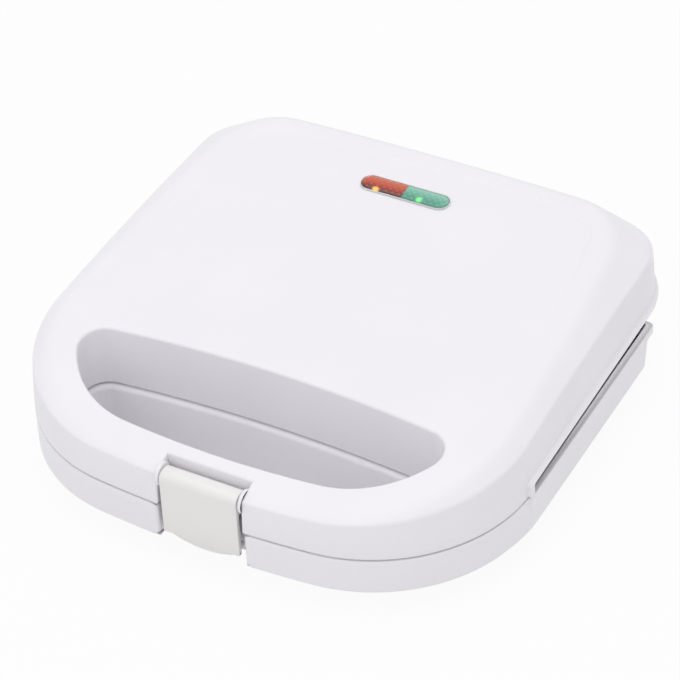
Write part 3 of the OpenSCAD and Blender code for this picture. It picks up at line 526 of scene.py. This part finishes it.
def lidOpenings(b, grid, notchLine):
    # finger hole: walls down to a small round at the parting line
    rimZ = lidHeight(holeLine)
    b.strip([at(holeLine, rimZ), at(holeLine, (rimZ + lidBottom) / 2), at(holeLine, lidBottom + 0.6),
             at(holeOutline(0.1), lidBottom + 0.2), at(holeOutline(0.6), lidBottom)])
    # notch: two sides and the rear wall
    for s, col in ((1, 0), (-1, -1)):
        side = notchLine[:5] * [s, 1]
        line = np.r_[grid[:, col], at(side, lidHeight(side))[1:]]
        line[:, 0] = s * notch["lidHalf"]
        b.strip([line, at(line[:, :2], lidBottom)], closed=False, flip=s < 0)
    back = notchLine[4:-4]
    b.strip([at(back, lidHeight(back)), at(back, lidBottom)], closed=False)
    windowZ = lidHeight(windowLine)
    b.strip([at(windowLine, windowZ), at(windowLine, windowZ - 3)])


def latchBosses(b):
    # round boss beside each end of the latch, with the bore of its pin: radius, and distance out
    half = notch["lidHalf"]
    boss = ((5, half + 0.3), (5, 18.5), (4.88, 18.22), (4.6, 18.1), (1.55, 18.1), (1.55, half))
    for s in (1, -1):
        b.strip([np.c_[np.full(49, s * x), arc(notch["pivot"], r, 0, 360, 48)] for r, x in boss],
                closed=False, flip=s < 0)


def inEar(x, y, ear):
    return (x > ear["fromX"]) & (x < ear["toX"]) & (y > ear["fromY"])


def makeLid():
    b = Builder()
    grid = lidWall(b)
    notchLine = lidTop(b)
    lidOpenings(b, grid, notchLine)
    latchBosses(b)
    half, rearY = notch["lidHalf"], notch["lidRearY"]
    frontDeck(b, lidWallAt(-1.2), holeOutline(0.6), half, rearY, lidBottom, down=True)
    makeRail(b)

    # the ears, the inside and the underside come from the CAD housing
    wall = mirrored(bodyRight(0, body["wallRearY"], body["wallCorner"]))

    def keep(c, n):
        toWall, inside = polyDistance(c[:, :2], wall)
        toHole, inHole = polyDistance(c[:, :2], holeLine)
        toWindow = polyDistance(c[:, :2], windowLine)[0]
        x, y, z = np.abs(c[:, 0]), c[:, 1], c[:, 2]
        skin = ~inside | (toWall < lidSkin["wall"]) | (z > crownHeight(c[:, :2]) - lidSkin["top"])
        skin |= (toHole < lidSkin["opening"]) | inHole
        skin |= (toWindow < lidSkin["opening"]) & (z > topHeight(y) - lidSkin["windowTop"])
        skin |= (z < lidBottom + 0.1) & (y < body["deckRearY"] + 0.1)
        skin |= (x < half + 0.2) & (y < rearY + 0.2)
        return inEar(x, y, lidEar) & (z < rimHeight(y) - 0.2) | ~skin

    b.borrow("lid_shell", keep)
    return b.piece("lid_housing", "lid")


def frontDeck(b, outline, holeLoop, half, rearY, z, down):
    # flat face over the front of a moulding, as far back as the cooking plates
    right, y = outline[: len(outline) // 2], body["deckRearY"]
    k = int(np.argmax(right[:, 1] > y))
    cut = right[k - 1] + (right[k] - right[k - 1]) * (y - right[k - 1, 1]) / (right[k, 1] - right[k - 1, 1])
    right = np.r_[right[:k], [cut]]
    loop = np.r_[right, right[::-1] * [-1, 1], [[-half, rearY], [half, rearY]]]
    b.sheet([loop, holeLoop], [], z, flip=down, spacing=0 if down else 6)


lidHousing = makeLid()
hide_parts("lid_shell")
print("lid housing:", len(lidHousing.data.vertices), "vertices")


# Base housing

baseStartX = notch["baseHalf"] + edgeSteps * notch["baseEdge"]
baseEar = dict(fromX=56.3, toX=67.7, fromY=76)
# where the drawn skin is: above the wall's foot, beside the hole and its rounded edge, and on the deck
baseSkin = dict(fromZ=11.9, hole=0.4, holeEdge=2.3, holeEdgeZ=25.6, deckZ=28.0, deckToY=78)


def baseRing(off, rear, corner, z):
    # the sides and the rear stand out by the side step, the front doesn't
    plain = mirrored(bodyRight(off, body["baseRearY"] + rear, corner, startX=baseStartX))
    proud = mirrored(bodyRight(off + body["sideStep"], body["baseRearY"] + rear, corner, startX=baseStartX))
    # the step is crisp up at the rim and fades out over a long stretch further down
    crisp = smooth((plain[:, 1:] - body["stepY"] + 0.25) / 0.75)
    soft = smooth((plain[:, 1:] - body["stepY"] + 16) / 22)
    k = float(smooth((z - 23) / 3))
    return at(plain + (proud - plain) * (k * crisp + (1 - k) * soft), z)


def baseWall(b):
    # rings up the wall: offset, rear line, rear corner, height
    low, z0, lipZ = body["skirtIn"], body["skirtZ"], baseTop
    wall = [(-1.8, low, 4.1, z0), (-0.5, low, 4.1, z0), (-0.27, low, 4.1, z0 + 0.05),
            (-0.1, low, 4.1, z0 + 0.16), (0, low, 4.1, z0 + 0.45)]
    wall += [(0, low + 2 * (z - z0) / 12.4, 4.1, z) for z in
             (z0 + 0.9, z0 + 1.5, z0 + 2.2, z0 + 3, 18, 21, 24.4)]
    wall += [(0, -2, 2.7, 24.85), (0, -0.6, 1.5, 24.85), (0, -0.2, 1.4, 24.93), (0, 0, 1.4, 25.3),
             (0, 0, 1.4, 26.3), (0, 0, 1.4, 27), (0, 0, 1.4, 27.65), (-0.04, 0, 1.4, 27.85),
             (-0.14, 0, 1.4, 28.0), (-0.28, 0, 1.4, 28.07), (-0.45, 0, 1.4, lipZ)]
    half = notch["baseHalf"]
    grid = np.array([baseRing(*row) for row in wall])
    grid = softenNotch(grid, half, notch["baseEdge"], body["frontEndY"])
    # the notch's corners are rounded as seen from the front
    aside = np.abs(grid[:, :, 0]) - half
    away = edgeDrop(grid[:, :, 2] - z0, notch["lowCornerR"])
    away += edgeDrop(lipZ - grid[:, :, 2], notch["highCornerR"])
    away *= np.clip(1 - aside / notch["cornerFade"], 0, 1) * (grid[:, :, 1] < body["frontEndY"])
    grid[:, :, 0] += np.sign(grid[:, :, 0]) * away
    b.strip(grid, closed=False)
    return grid


def baseLedge(b, top):
    # flat rim behind the front deck, down to the cooking plate's edge
    rear = top[:, 1] > body["deckRearY"] - 0.1
    # each ring's place, and its share of the ledge's climb towards the rear
    ledge = (((-1.2, 0, 2.4, baseTop), 0), ((-1.6, 0, 2.8, baseTop), 0.08), ((-1.85, 0, 3, baseTop), 0.3),
             ((-2.35, 0, 3.5, 28.0), 0.8), ((-2.75, 0, 3.9, 27.75), 0.9), ((-3, 0, 4.1, 27.3), 0.7),
             ((-3.12, 0, 4.2, 26.6), 0.3), ((-3.15, 0, 4.2, 25.8), 0))
    rows = [top[rear]]
    for place, share in ledge:
        r = baseRing(*place)
        r[:, 2] += body["ledgeRise"] * share * smooth((r[:, 1] + 42) / 110)
        rows.append(r[rear])
    b.strip(rows, closed=False)


def baseHole(b):
    # finger hole with its rounded upper edge
    out, edge = hole["baseOff"], hole["baseEdge"]
    rim = [at(holeOutline(out + o), baseTop - edgeDrop(o, edge)) for o in edgeSteps * edge]
    b.strip([*rim[::-1], at(holeOutline(out), 16), at(holeOutline(out), 4.6), at(holeOutline(-1.3), 4.1)])


def baseNotch(b, grid):
    # two sides and the rear wall
    half, rearY = notch["baseHalf"], notch["baseRearY"]
    for s, col in ((1, 0), (-1, -1)):
        line = grid[:, col]
        rearLine = np.c_[np.full(len(line), s * half), np.full(len(line), rearY), line[:, 2]]
        b.strip([line, rearLine], closed=False, flip=s < 0)
    back = np.c_[np.linspace(half, -half, 9), np.full(9, rearY)]
    b.strip([at(back, baseTop), at(back, body["skirtZ"])], closed=False)


def makeBase():
    b = Builder()
    grid = baseWall(b)
    baseLedge(b, grid[-1])
    baseHole(b)
    half, rearY = notch["baseHalf"], notch["baseRearY"]
    frontDeck(b, grid[-1][:, :2], holeOutline(0.2), half, rearY, baseTop, down=False)
    baseNotch(b, grid)

    # the ears, the inside and the pan come from the CAD housing
    def keep(c, n):
        inside = polyDistance(c[:, :2], baseRing(-1.15, body["skirtIn"] + 0.5, 4.1, 0)[:, :2])[1]
        toHole = polyDistance(c[:, :2], holeOutline(hole["baseOff"]))[0]
        x, y, z = np.abs(c[:, 0]), c[:, 1], c[:, 2]
        # of an ear, its two sides, its rear and its underside
        ear = (np.abs(n[:, 0]) > 0.9) | (y > 83.3) | (n[:, 2] < -0.3) & (z < 24.7)
        skin = ~inside & (z > baseSkin["fromZ"]) | (toHole < baseSkin["hole"])
        skin |= (z > baseSkin["holeEdgeZ"]) & (toHole < baseSkin["holeEdge"])
        skin |= (z > baseSkin["deckZ"]) & (y < baseSkin["deckToY"])
        skin |= (np.abs(x - half) < 0.1) & (y < rearY + 0.6)
        skin |= (x < half) & (np.abs(y - rearY) < 0.1)
        return inEar(x, y, baseEar) & ear | ~skin

    b.borrow("base_shell", keep)
    return b.piece("base_housing", "base")


baseHousing = makeBase()
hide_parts("base_shell")
print("base housing:", len(baseHousing.data.vertices), "vertices")


# Pieces that keep the CAD shape but get rounded edges

def dressed(node, rides, look):
    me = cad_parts[node].data.copy()
    me.name = node + "_dressed"
    bm = bmesh.new()
    bm.from_mesh(me)
    bmesh.ops.remove_doubles(bm, verts=bm.verts, dist=0.002 * mm)
    bmesh.ops.dissolve_limit(bm, angle_limit=math.radians(0.6), verts=bm.verts, edges=bm.edges)
    bm.to_mesh(me)
    bm.free()
    ob = bpy.data.objects.new(node + "_dressed", me)
    bpy.context.scene.collection.objects.link(ob)
    mod = ob.modifiers.new("edges", "BEVEL")
    mod.width = look["bevel"] * mm
    mod.segments = look["segments"]
    mod.limit_method = "ANGLE"
    mod.angle_limit = math.radians(look["angle"])
    mod.use_clamp_overlap = True
    done = bpy.data.meshes.new_from_object(ob.evaluated_get(bpy.context.evaluated_depsgraph_get()))
    ob.modifiers.clear()
    ob.data = done
    bm = bmesh.new()
    bm.from_mesh(done)
    shade(bm, look["sharp"])
    bm.to_mesh(done)
    bm.free()
    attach(ob, rides)
    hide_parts(node)
    return ob


latchShape = dict(half=17.45, topZ=45.9, faceY=-112.0, faceZ=16.0, sag=4.4, tabBack=1.5, round=3.4,
                  rearRound=4.2, thick=2.4)


def makeLatch():
    # a flat plate that curls over at the top round the barrel, with a curved thumb tab set back below it
    b = Builder()
    k = latchShape
    face, foot, top, inner = k["faceY"], k["faceZ"], k["topZ"], k["faceY"] + k["thick"]
    # side profile (y, z): up the face, over the two rounds, and down the back
    front = [(face + 0.55, foot), (face + 0.16, foot + 0.16), (face, foot + 0.55), (face, 26), (face, 36)]
    front += [tuple(p) for p in arc((face + k["round"], top - k["round"]), k["round"], 180, 92, 12)]
    front += [(-107.6, top + 0.05)]
    front += [tuple(p) for p in arc((-107.2, top - k["rearRound"]), k["rearRound"], 85, 0, 12)]
    back = [(-103.0, 40.2), (-103.6, 38.6), (-105.0, 37.2), (inner + 0.6, 36.4), (inner, 35),
            (inner, foot + 0.6), (inner - 0.5, foot)]
    loop = np.array(front + back)
    # rows across the width, drawn in at both ends for a rounded edge
    ends = ((1.2, 0), (0.55, 0), (0.28, 0.04), (0.1, 0.15), (0, 0.4))
    across = [(inset, k["half"] - e) for inset, e in ends] + [(0, 6), (0, -6)]
    across += [(inset, e - k["half"]) for inset, e in ends[::-1]]
    rows = []
    for inset, x in across:
        p = insetLoop(loop, inset)
        rows.append(np.c_[np.full(len(p), x), p])
    b.strip(rows)
    for row, s in ((rows[0], 1), (rows[-1], -1)):
        c = Builder()
        c.sheet([row[:, 1:]], [], 0.0)
        v = np.concatenate(c.v)
        b.add(np.c_[np.full(len(v), row[0, 0]), v[:, :2]], [f if s > 0 else f[::-1] for f in c.f])
    # thumb tab
    r = (k["half"] ** 2 + k["sag"] ** 2) / (2 * k["sag"])
    a = math.degrees(math.asin((k["half"] - 0.7) / r))
    low = arc((0, foot - k["sag"] + r), r, -90 - a, -90 + a, 40)
    high = np.c_[low[:, 0], np.full(41, foot + 0.4)]
    y0, y1 = face + k["tabBack"], inner + 0.2
    rings = [np.c_[line[:, 0], np.full(41, y), line[:, 1] + up] for line, y, up in
             ((high, y0, 0), (low, y0, 0.45), (low, y0 + 0.12, 0.14), (low, y0 + 0.4, 0),
              (low, y1 - 0.2, 0), (low, y1, 0.25), (high, y1, 0))]
    b.strip(rings, closed=False)

    def keep(c, n):
        # the hook and the bore come from the CAD latch
        return (c[:, 1] > face + 2.5) & (c[:, 2] < 20.5) & (np.abs(c[:, 0]) < 17)

    b.borrow("latch", keep)
    ob = b.piece("latch_plate", "latch", sharp=40)
    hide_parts("latch")
    return ob


def insetLoop(loop, d):
    # closed loop moved inwards by d along its corners' bisectors
    t = np.roll(loop, -1, 0) - np.roll(loop, 1, 0)
    n = np.c_[t[:, 1], -t[:, 0]] / np.maximum(np.linalg.norm(t, axis=1, keepdims=True), 1e-9)
    area = np.sum(loop[:, 0] * np.roll(loop[:, 1], -1) - np.roll(loop[:, 0], -1) * loop[:, 1])
    return loop - n * d * (1 if area > 0 else -1)


latchPiece = makeLatch()
plateEdges = dict(bevel=0.5, segments=2, angle=32, sharp=34)
upperPlate = dressed("upper_plate", "lid", plateEdges)
lowerPlate = dressed("lower_plate", "base", plateEdges)
print("latch and plates dressed")


# Indicator window: two coloured halves in a clear rim

lensShape = dict(proud=0.85, inset=0.44, joint=0.06)


def onTop(p, z):
    # puts plan points of the window on the sloping top, z above it
    s = math.radians(crown["slope"])
    return np.c_[lens["x"] + p[:, 0], lens["y"] + p[:, 1] * math.cos(s) - z * math.sin(s),
                 topHeight(lens["y"]) + p[:, 1] * math.sin(s) + z * math.cos(s)]


def lensPill(off):
    return pillOutline(lens["length"] + 2 * off, lens["width"] + 2 * off, 24)


def makeLensHalf(side, name):
    b = Builder()
    r = lens["width"] / 2 - lensShape["inset"]
    c = (lens["length"] - lens["width"]) / 2
    xs, turn = np.linspace(lensShape["joint"], c, 14)[:-1], np.radians(np.linspace(-90, 90, 25))
    rows = []
    for f in (1, 0.985, 0.95, 0.88, 0.78, 0.62, 0.42, 0.2, 0.001):
        # a soft dome with a rounded outer edge
        high = lensShape["proud"] - 0.9 * (1 - math.sqrt(max(1 - f ** 6, 0))) - 0.35 * f * f
        p = np.r_[np.c_[xs, np.full(13, -r * f)], np.c_[c + r * f * np.cos(turn), r * f * np.sin(turn)],
                  np.c_[xs[::-1], np.full(13, r * f)]]
        rows.append((p, high))
    first = rows[0][0]
    rings = [onTop(first * [side, 1], -4.0), onTop(first * [side, 1], rows[0][1] - 0.2)]
    rings += [onTop(p * [side, 1], z) for p, z in rows]
    b.strip(rings, closed=False, flip=side < 0)
    # the face where the two halves meet
    edges = [[onTop(np.array([[side * lensShape["joint"], y]]), z)[0] for y, z in
              [(s * r, -4), (s * r, rows[0][1])] + [(p[k, 1], z) for p, z in rows[1:]]]
             for s, k in ((-1, 0), (1, -1))]
    b.strip(edges, closed=False, flip=side > 0)
    return b.piece(name, "lid", merge=0.002, sharp=50)


redLens = makeLensHalf(-1, "red_window")
greenLens = makeLensHalf(1, "green_window")
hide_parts("red_lens")
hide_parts("green_lens")


def makeRim():
    # clear rim with a rounded top, standing just proud of the lid
    b = Builder()
    prof = [(-0.03, -3.5), (-0.03, 0.12), (-0.06, 0.24), (-0.13, 0.32), (-0.22, 0.35), (-0.31, 0.31),
            (-0.37, 0.2), (-0.39, 0.05), (-0.39, -3.5)]
    b.strip([onTop(lensPill(o), z) for o, z in prof])
    ob = b.piece("window_rim", "lid", sharp=60)
    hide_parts("lens_rim")
    return ob


windowRim = makeRim()
print("indicator window made")


# Materials

def linear(hexCode):
    # sRGB hex to the linear colour that the shader takes
    c = [int(hexCode[i:i + 2], 16) / 255 for i in (1, 3, 5)]
    return tuple(x / 12.92 if x <= 0.04045 else ((x + 0.055) / 1.055) ** 2.4 for x in c) + (1.0,)


def addNode(tree, kind, settings=None, links=None):
    # one node with its settings, and its inputs set or linked; stops fills a colour ramp
    node = tree.nodes.new(kind)
    for key, value in (settings or {}).items():
        if key == "stops":
            el = node.color_ramp.elements
            while len(el) < len(value):
                el.new(0.5)
            for e, (pos, col) in zip(el, value):
                e.position, e.color = pos, linear(col)
        else:
            setattr(node, key, value)
    for key, value in (links or {}).items():
        socket = node.inputs[key]
        if isinstance(value, bpy.types.NodeSocket):
            tree.links.new(value, socket)
        else:
            socket.default_value = value
    return node


def newMaterial(name):
    # an empty material, its tree and the object's own coordinates
    m = bpy.data.materials.new(name)
    m.use_nodes = True
    m.node_tree.nodes.clear()
    return m, m.node_tree, addNode(m.node_tree, "ShaderNodeTexCoord").outputs["Object"]


def perMetre(sizeMm):
    # texture scale whose features are about sizeMm across
    return 1000 / sizeMm


def finished(name, look):
    # a surface of one substance: two close tones in patches, uneven gloss, and a fine relief
    m, t, where = newMaterial(name)
    patch = addNode(t, "ShaderNodeTexNoise", links={
        "Vector": where, "Scale": perMetre(look["patchMm"]), "Detail": 3.0})
    grain = addNode(t, "ShaderNodeTexNoise", links={
        "Vector": where, "Scale": perMetre(look["grainMm"]), "Detail": 2.0})
    colour = addNode(t, "ShaderNodeValToRGB", {
        "stops": [(0.35, look["colours"][0]), (0.65, look["colours"][1])]}, {0: patch.outputs[0]})
    gloss = addNode(t, "ShaderNodeMapRange", links={
        "Value": grain.outputs[0], "From Min": 0.3, "From Max": 0.7,
        "To Min": look["rough"][0], "To Max": look["rough"][1]})
    bump = addNode(t, "ShaderNodeBump", links={
        "Strength": look["relief"], "Distance": look["depthMm"] * mm, "Height": grain.outputs[0]})
    p = addNode(t, "ShaderNodeBsdfPrincipled", links={
        "Base Color": colour.outputs[0], "Roughness": gloss.outputs[0], "Normal": bump.outputs[0],
        **look["sockets"]})
    addNode(t, "ShaderNodeOutputMaterial", links={"Surface": p.outputs[0]})
    return m


# Moulded polypropylene: an off-white with a faint lilac cast, satin gloss, and a very fine orange peel
housingLook = dict(colours=("#F1EFF4", "#F3F1F6"), rough=(0.34, 0.42), patchMm=45, grainMm=0.9, depthMm=0.01,
                   relief=0.05, sockets={"IOR": 1.49, "Specular IOR Level": 0.42})
# Moulded ABS: a touch warmer and glossier than the housing, so it catches a slightly crisper highlight
latchLook = dict(colours=("#EFEDEC", "#F1EFEE"), rough=(0.28, 0.33), patchMm=30, grainMm=0.8, depthMm=0.01,
                 relief=0.04, sockets={"IOR": 1.53, "Specular IOR Level": 0.45})
# Non-stick coated aluminium: sprayed and baked PTFE, charcoal with a fine stipple and a soft sheen
coatingLook = dict(colours=("#262628", "#2E2E31"), rough=(0.34, 0.5), patchMm=12, grainMm=0.5, depthMm=0.04,
                   relief=0.35, sockets={"IOR": 1.4})
# Heat-darkened steel tube: straw and brown oxide over dull grey metal
heaterLook = dict(colours=("#57504A", "#7A6C5E"), rough=(0.4, 0.6), patchMm=7, grainMm=0.4, depthMm=0.03,
                  relief=0.3, sockets={"Metallic": 1.0})
# Aluminised steel sheet: pale rolled metal with a spangled coating
sheetLook = dict(colours=("#B9BBBD", "#CBCDCF"), rough=(0.24, 0.42), patchMm=4, grainMm=0.8, depthMm=0.01,
                 relief=0.2, sockets={"Metallic": 1.0})
# Zinc-plated steel: bright blue-white plating with slight clouding
zincLook = dict(colours=("#BFC2C6", "#D2D4D8"), rough=(0.18, 0.3), patchMm=3, grainMm=0.35, depthMm=0.008,
                relief=0.15, sockets={"Metallic": 1.0})
# Moulded nylon: milky, a little waxy
nylonLook = dict(colours=("#E3E0D8", "#EAE8E1"), rough=(0.42, 0.55), patchMm=8, grainMm=0.5, depthMm=0.02,
                 relief=0.2, sockets={"IOR": 1.53})
# Moulded nylon bush in the housing's white: a shade greyer and flatter than the housing
bushLook = dict(colours=("#DCDADD", "#E4E2E6"), rough=(0.4, 0.5), patchMm=6, grainMm=0.5, depthMm=0.02,
                relief=0.2, sockets={"IOR": 1.53})
# Phenolic moulding: dark red-brown with a faint fibre mottle
phenolicLook = dict(colours=("#3A2219", "#4C2D20"), rough=(0.38, 0.52), patchMm=1.5, grainMm=0.4,
                    depthMm=0.02, relief=0.25, sockets={"IOR": 1.6})
# Moulded rubber: dark grey, matt, slightly dusty
rubberLook = dict(colours=("#2A2A2C", "#35353A"), rough=(0.7, 0.85), patchMm=5, grainMm=0.6, depthMm=0.05,
                  relief=0.4, sockets={"IOR": 1.52})


def crossedWaves(t, where, pitchMm, rotation, operation):
    # two sets of bands at right angles, joined into a braid or a field of diamonds
    turned = addNode(t, "ShaderNodeMapping", links={"Vector": where, "Rotation": rotation})
    bands = [addNode(t, "ShaderNodeTexWave", {"bands_direction": d},
                     {"Vector": turned.outputs[0], "Scale": perMetre(pitchMm) / 6.28}) for d in "XY"]
    both = addNode(t, "ShaderNodeMath", {"operation": operation},
                   {0: bands[0].outputs["Fac"], 1: bands[1].outputs["Fac"]})
    return both.outputs[0]


def wovenSleeve():
    # Glass-fibre sleeving, braided: cream and matt. The yarn is 0.4 mm, drawn at 0.8 mm so that it shows
    m, t, where = newMaterial("glass_fibre_sleeving")
    braid = crossedWaves(t, where, 0.8, (0.6, 0.5, 0.785), "MAXIMUM")
    colour = addNode(t, "ShaderNodeValToRGB", {"stops": [(0.2, "#B9AE93"), (0.9, "#E2DAC4")]}, {0: braid})
    bump = addNode(t, "ShaderNodeBump", links={"Strength": 0.5, "Distance": 0.1 * mm, "Height": braid})
    p = addNode(t, "ShaderNodeBsdfPrincipled", links={
        "Base Color": colour.outputs[0], "Roughness": 0.8, "IOR": 1.5, "Normal": bump.outputs[0]})
    addNode(t, "ShaderNodeOutputMaterial", links={"Surface": p.outputs[0]})
    return m


def clearPlastic():
    # Clear moulded polycarbonate: glassy and colourless, bright along its rounded edge
    m, t, where = newMaterial("clear_polycarbonate")
    wave = addNode(t, "ShaderNodeTexNoise", links={"Vector": where, "Scale": perMetre(3), "Detail": 1.0})
    bump = addNode(t, "ShaderNodeBump", links={
        "Strength": 0.15, "Distance": 0.05 * mm, "Height": wave.outputs[0]})
    p = addNode(t, "ShaderNodeBsdfPrincipled", links={
        "Base Color": linear("#F4F5F6"), "Roughness": 0.06, "IOR": 1.585, "Transmission Weight": 0.3,
        "Normal": bump.outputs[0]})
    addNode(t, "ShaderNodeOutputMaterial", links={"Surface": p.outputs[0]})
    return m


# what each half shows: its tone at the front edge, two tones behind it, and the painted glow over its lamp
# (emission standing in for the lamp's light)
redLook = dict(deep="#5E1A0C", pale=("#C4482A", "#D86440"), shine="#FFB347", spot=(-12.4, -3.7),
               strength=1.5)
greenLook = dict(deep="#3F8F77", pale=("#6DB39C", "#93CDB8"), shine="#7CFF6A", spot=(8.0, -2.6),
                 strength=0.8)


def prismLens(name, look):
    # Moulded translucent polycarbonate with a diamond prism pattern inside: saturated and darker towards the
    # front edge, with a painted glow: emission over its lamp stands in for the lamp's light coming through
    m, t, where = newMaterial(name)
    prism = crossedWaves(t, where, 1.1, (0, 0, 0.785), "MULTIPLY")
    part = addNode(t, "ShaderNodeSeparateXYZ", links={0: where})
    across = addNode(t, "ShaderNodeMapRange", links={
        "Value": part.outputs["Y"], "From Min": (lens["y"] - 3.8) * mm, "From Max": (lens["y"] + 3.4) * mm})
    mixed = addNode(t, "ShaderNodeMath", {"operation": "MULTIPLY_ADD"}, {0: prism, 1: 0.28, 2: -0.1})
    tone = addNode(t, "ShaderNodeMath", {"operation": "ADD", "use_clamp": True},
                   {0: across.outputs[0], 1: mixed.outputs[0]})
    colour = addNode(t, "ShaderNodeValToRGB", {
        "stops": [(0.0, look["deep"]), (0.45, look["pale"][0]), (1.0, look["pale"][1])]},
        {0: tone.outputs[0]})
    # painted glow: emission that fades out from a spot over the lamp, standing in for the lamp's light
    x, y = look["spot"]
    spot = addNode(t, "ShaderNodeVectorMath", {"operation": "DISTANCE"}, {
        0: where, 1: ((lens["x"] + x) * mm, (lens["y"] + y) * mm, topHeight(lens["y"]) * mm)})
    paintedGlow = addNode(t, "ShaderNodeMapRange", {"interpolation_type": "SMOOTHERSTEP"}, {
        "Value": spot.outputs["Value"], "From Min": 0.3 * mm, "From Max": 2.3 * mm,
        "To Min": look["strength"], "To Max": 0.0})
    bump = addNode(t, "ShaderNodeBump", links={"Strength": 0.35, "Distance": 0.12 * mm, "Height": prism})
    p = addNode(t, "ShaderNodeBsdfPrincipled", links={
        "Base Color": colour.outputs[0], "Roughness": 0.16, "IOR": 1.585, "Normal": bump.outputs[0],
        "Coat Weight": 0.6, "Coat Roughness": 0.05, "Emission Color": linear(look["shine"]),
        "Emission Strength": paintedGlow.outputs[0]})
    addNode(t, "ShaderNodeOutputMaterial", links={"Surface": p.outputs[0]})
    return m


def lampGlass(name, tint, strength):
    # Small neon lamp in blown glass: clear, with a warm glow from the electrodes
    m, t, where = newMaterial(name)
    cloud = addNode(t, "ShaderNodeTexNoise", links={"Vector": where, "Scale": perMetre(2), "Detail": 1.0})
    level = addNode(t, "ShaderNodeMapRange", links={
        "Value": cloud.outputs[0], "To Min": strength * 0.5, "To Max": strength})
    p = addNode(t, "ShaderNodeBsdfPrincipled", links={
        "Base Color": linear(tint), "Roughness": 0.05, "IOR": 1.5, "Emission Color": linear(tint),
        "Emission Strength": level.outputs[0]})
    addNode(t, "ShaderNodeOutputMaterial", links={"Surface": p.outputs[0]})
    return m


def setMaterial(material, *things):
    for thing in things:
        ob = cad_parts[thing] if isinstance(thing, str) else thing
        slots = ob.material_slots
        if isinstance(thing, str) and len(slots):
            for s in slots:
                s.material = material
        else:
            ob.data.materials.clear()
            ob.data.materials.append(material)


setMaterial(finished("moulded_polypropylene", housingLook), lidHousing, baseHousing)
setMaterial(finished("moulded_abs", latchLook), latchPiece)
setMaterial(finished("nonstick_coated_aluminium", coatingLook), upperPlate, lowerPlate)
setMaterial(finished("heat_darkened_steel", heaterLook), "upper_heater", "lower_heater")
setMaterial(finished("aluminised_steel_sheet", sheetLook), "upper_reflector", "lower_reflector")
setMaterial(finished("zinc_plated_steel", zincLook), "latch_pin", "hinge_pins", "upper_plate_screws",
            "lower_plate_screws", "upper_heater_clamps", "lower_heater_clamps", "thermal_fuse")
setMaterial(finished("moulded_nylon", nylonLook), "lamp_holder", "terminal_block")
setMaterial(finished("bush_nylon", bushLook), "cord_bush")
setMaterial(finished("phenolic_moulding", phenolicLook), "thermostat")
setMaterial(finished("foot_rubber", rubberLook), "feet")
setMaterial(wovenSleeve(), "base_wiring", "lid_wiring")
setMaterial(clearPlastic(), windowRim)
setMaterial(prismLens("red_prism_polycarbonate", redLook), redLens)
setMaterial(prismLens("green_prism_polycarbonate", greenLook), greenLens)
setMaterial(lampGlass("amber_lamp_glass", "#FFA65A", 0.8), "red_lamp")
setMaterial(lampGlass("green_lamp_glass", "#9CF09A", 0.6), "green_lamp")
print("materials set")


# Floor and light

studio = dict(world=0.76, floorHalf=4.0, floorWhite=0.93,
              lamps=(dict(name="overhead", watts=5.0, size=1.6, place=(0.0, 0.0, 1.5)),
                     dict(name="front_softbox", watts=1.8, size=0.9, place=(-0.05, -1.0, 1.15))))


def makeFloor():
    me, s = bpy.data.meshes.new("floor"), studio["floorHalf"]
    me.from_pydata([(-s, -s, 0), (s, -s, 0), (s, s, 0), (-s, s, 0)], [], [(0, 1, 2, 3)])
    ob = bpy.data.objects.new("floor", me)
    bpy.context.scene.collection.objects.link(ob)
    # White paper: seen directly it is the white of the background, with the object's faint shadow on it
    m, t, where = newMaterial("white_paper")
    tooth = addNode(t, "ShaderNodeTexNoise", links={"Vector": where, "Scale": perMetre(1.5), "Detail": 2.0})
    colour = addNode(t, "ShaderNodeValToRGB", {"stops": [(0.3, "#E8E8E8"), (0.7, "#EBEBEB")]},
                     {0: tooth.outputs[0]})
    d = addNode(t, "ShaderNodeBsdfDiffuse", links={"Color": colour.outputs[0]})
    e = addNode(t, "ShaderNodeEmission", links={"Color": (1, 1, 1, 1), "Strength": 1.0})
    path = addNode(t, "ShaderNodeLightPath").outputs
    seen = path["Is Camera Ray"]
    for ray in ("Is Glossy Ray", "Is Transmission Ray"):
        seen = addNode(t, "ShaderNodeMath", {"operation": "MAXIMUM"}, {0: seen, 1: path[ray]}).outputs[0]
    share = addNode(t, "ShaderNodeMath", {"operation": "MULTIPLY"}, {0: seen, 1: studio["floorWhite"]})
    mix = addNode(t, "ShaderNodeMixShader", links={0: share.outputs[0], 1: d.outputs[0], 2: e.outputs[0]})
    addNode(t, "ShaderNodeOutputMaterial", links={"Surface": mix.outputs[0]})
    me.materials.append(m)


def makeLight():
    w = bpy.data.worlds.new("studio")
    bpy.context.scene.world = w
    w.use_nodes = True
    t = w.node_tree
    t.nodes.clear()
    path = addNode(t, "ShaderNodeLightPath").outputs
    seen = addNode(t, "ShaderNodeMath", {"operation": "MAXIMUM"},
                   {0: path["Is Camera Ray"], 1: path["Is Transmission Ray"]})
    lit, white = (addNode(t, "ShaderNodeBackground", links={"Color": (1, 1, 1, 1), "Strength": level})
                  for level in (studio["world"], 1.0))
    mix = addNode(t, "ShaderNodeMixShader",
                  links={0: seen.outputs[0], 1: lit.outputs[0], 2: white.outputs[0]})
    addNode(t, "ShaderNodeOutputWorld", links={"Surface": mix.outputs[0]})
    for k in studio["lamps"]:
        lamp = bpy.data.lights.new(k["name"], "AREA")
        lamp.shape = "DISK"
        lamp.size = k["size"]
        lamp.energy = k["watts"]
        lo = bpy.data.objects.new(k["name"], lamp)
        lo.location = k["place"]
        lo.rotation_euler = Vector(k["place"]).to_track_quat("Z", "Y").to_euler()
        bpy.context.scene.collection.objects.link(lo)


makeFloor()
makeLight()
bpy.context.scene.view_settings.view_transform = "Standard"
print("floor and light made")
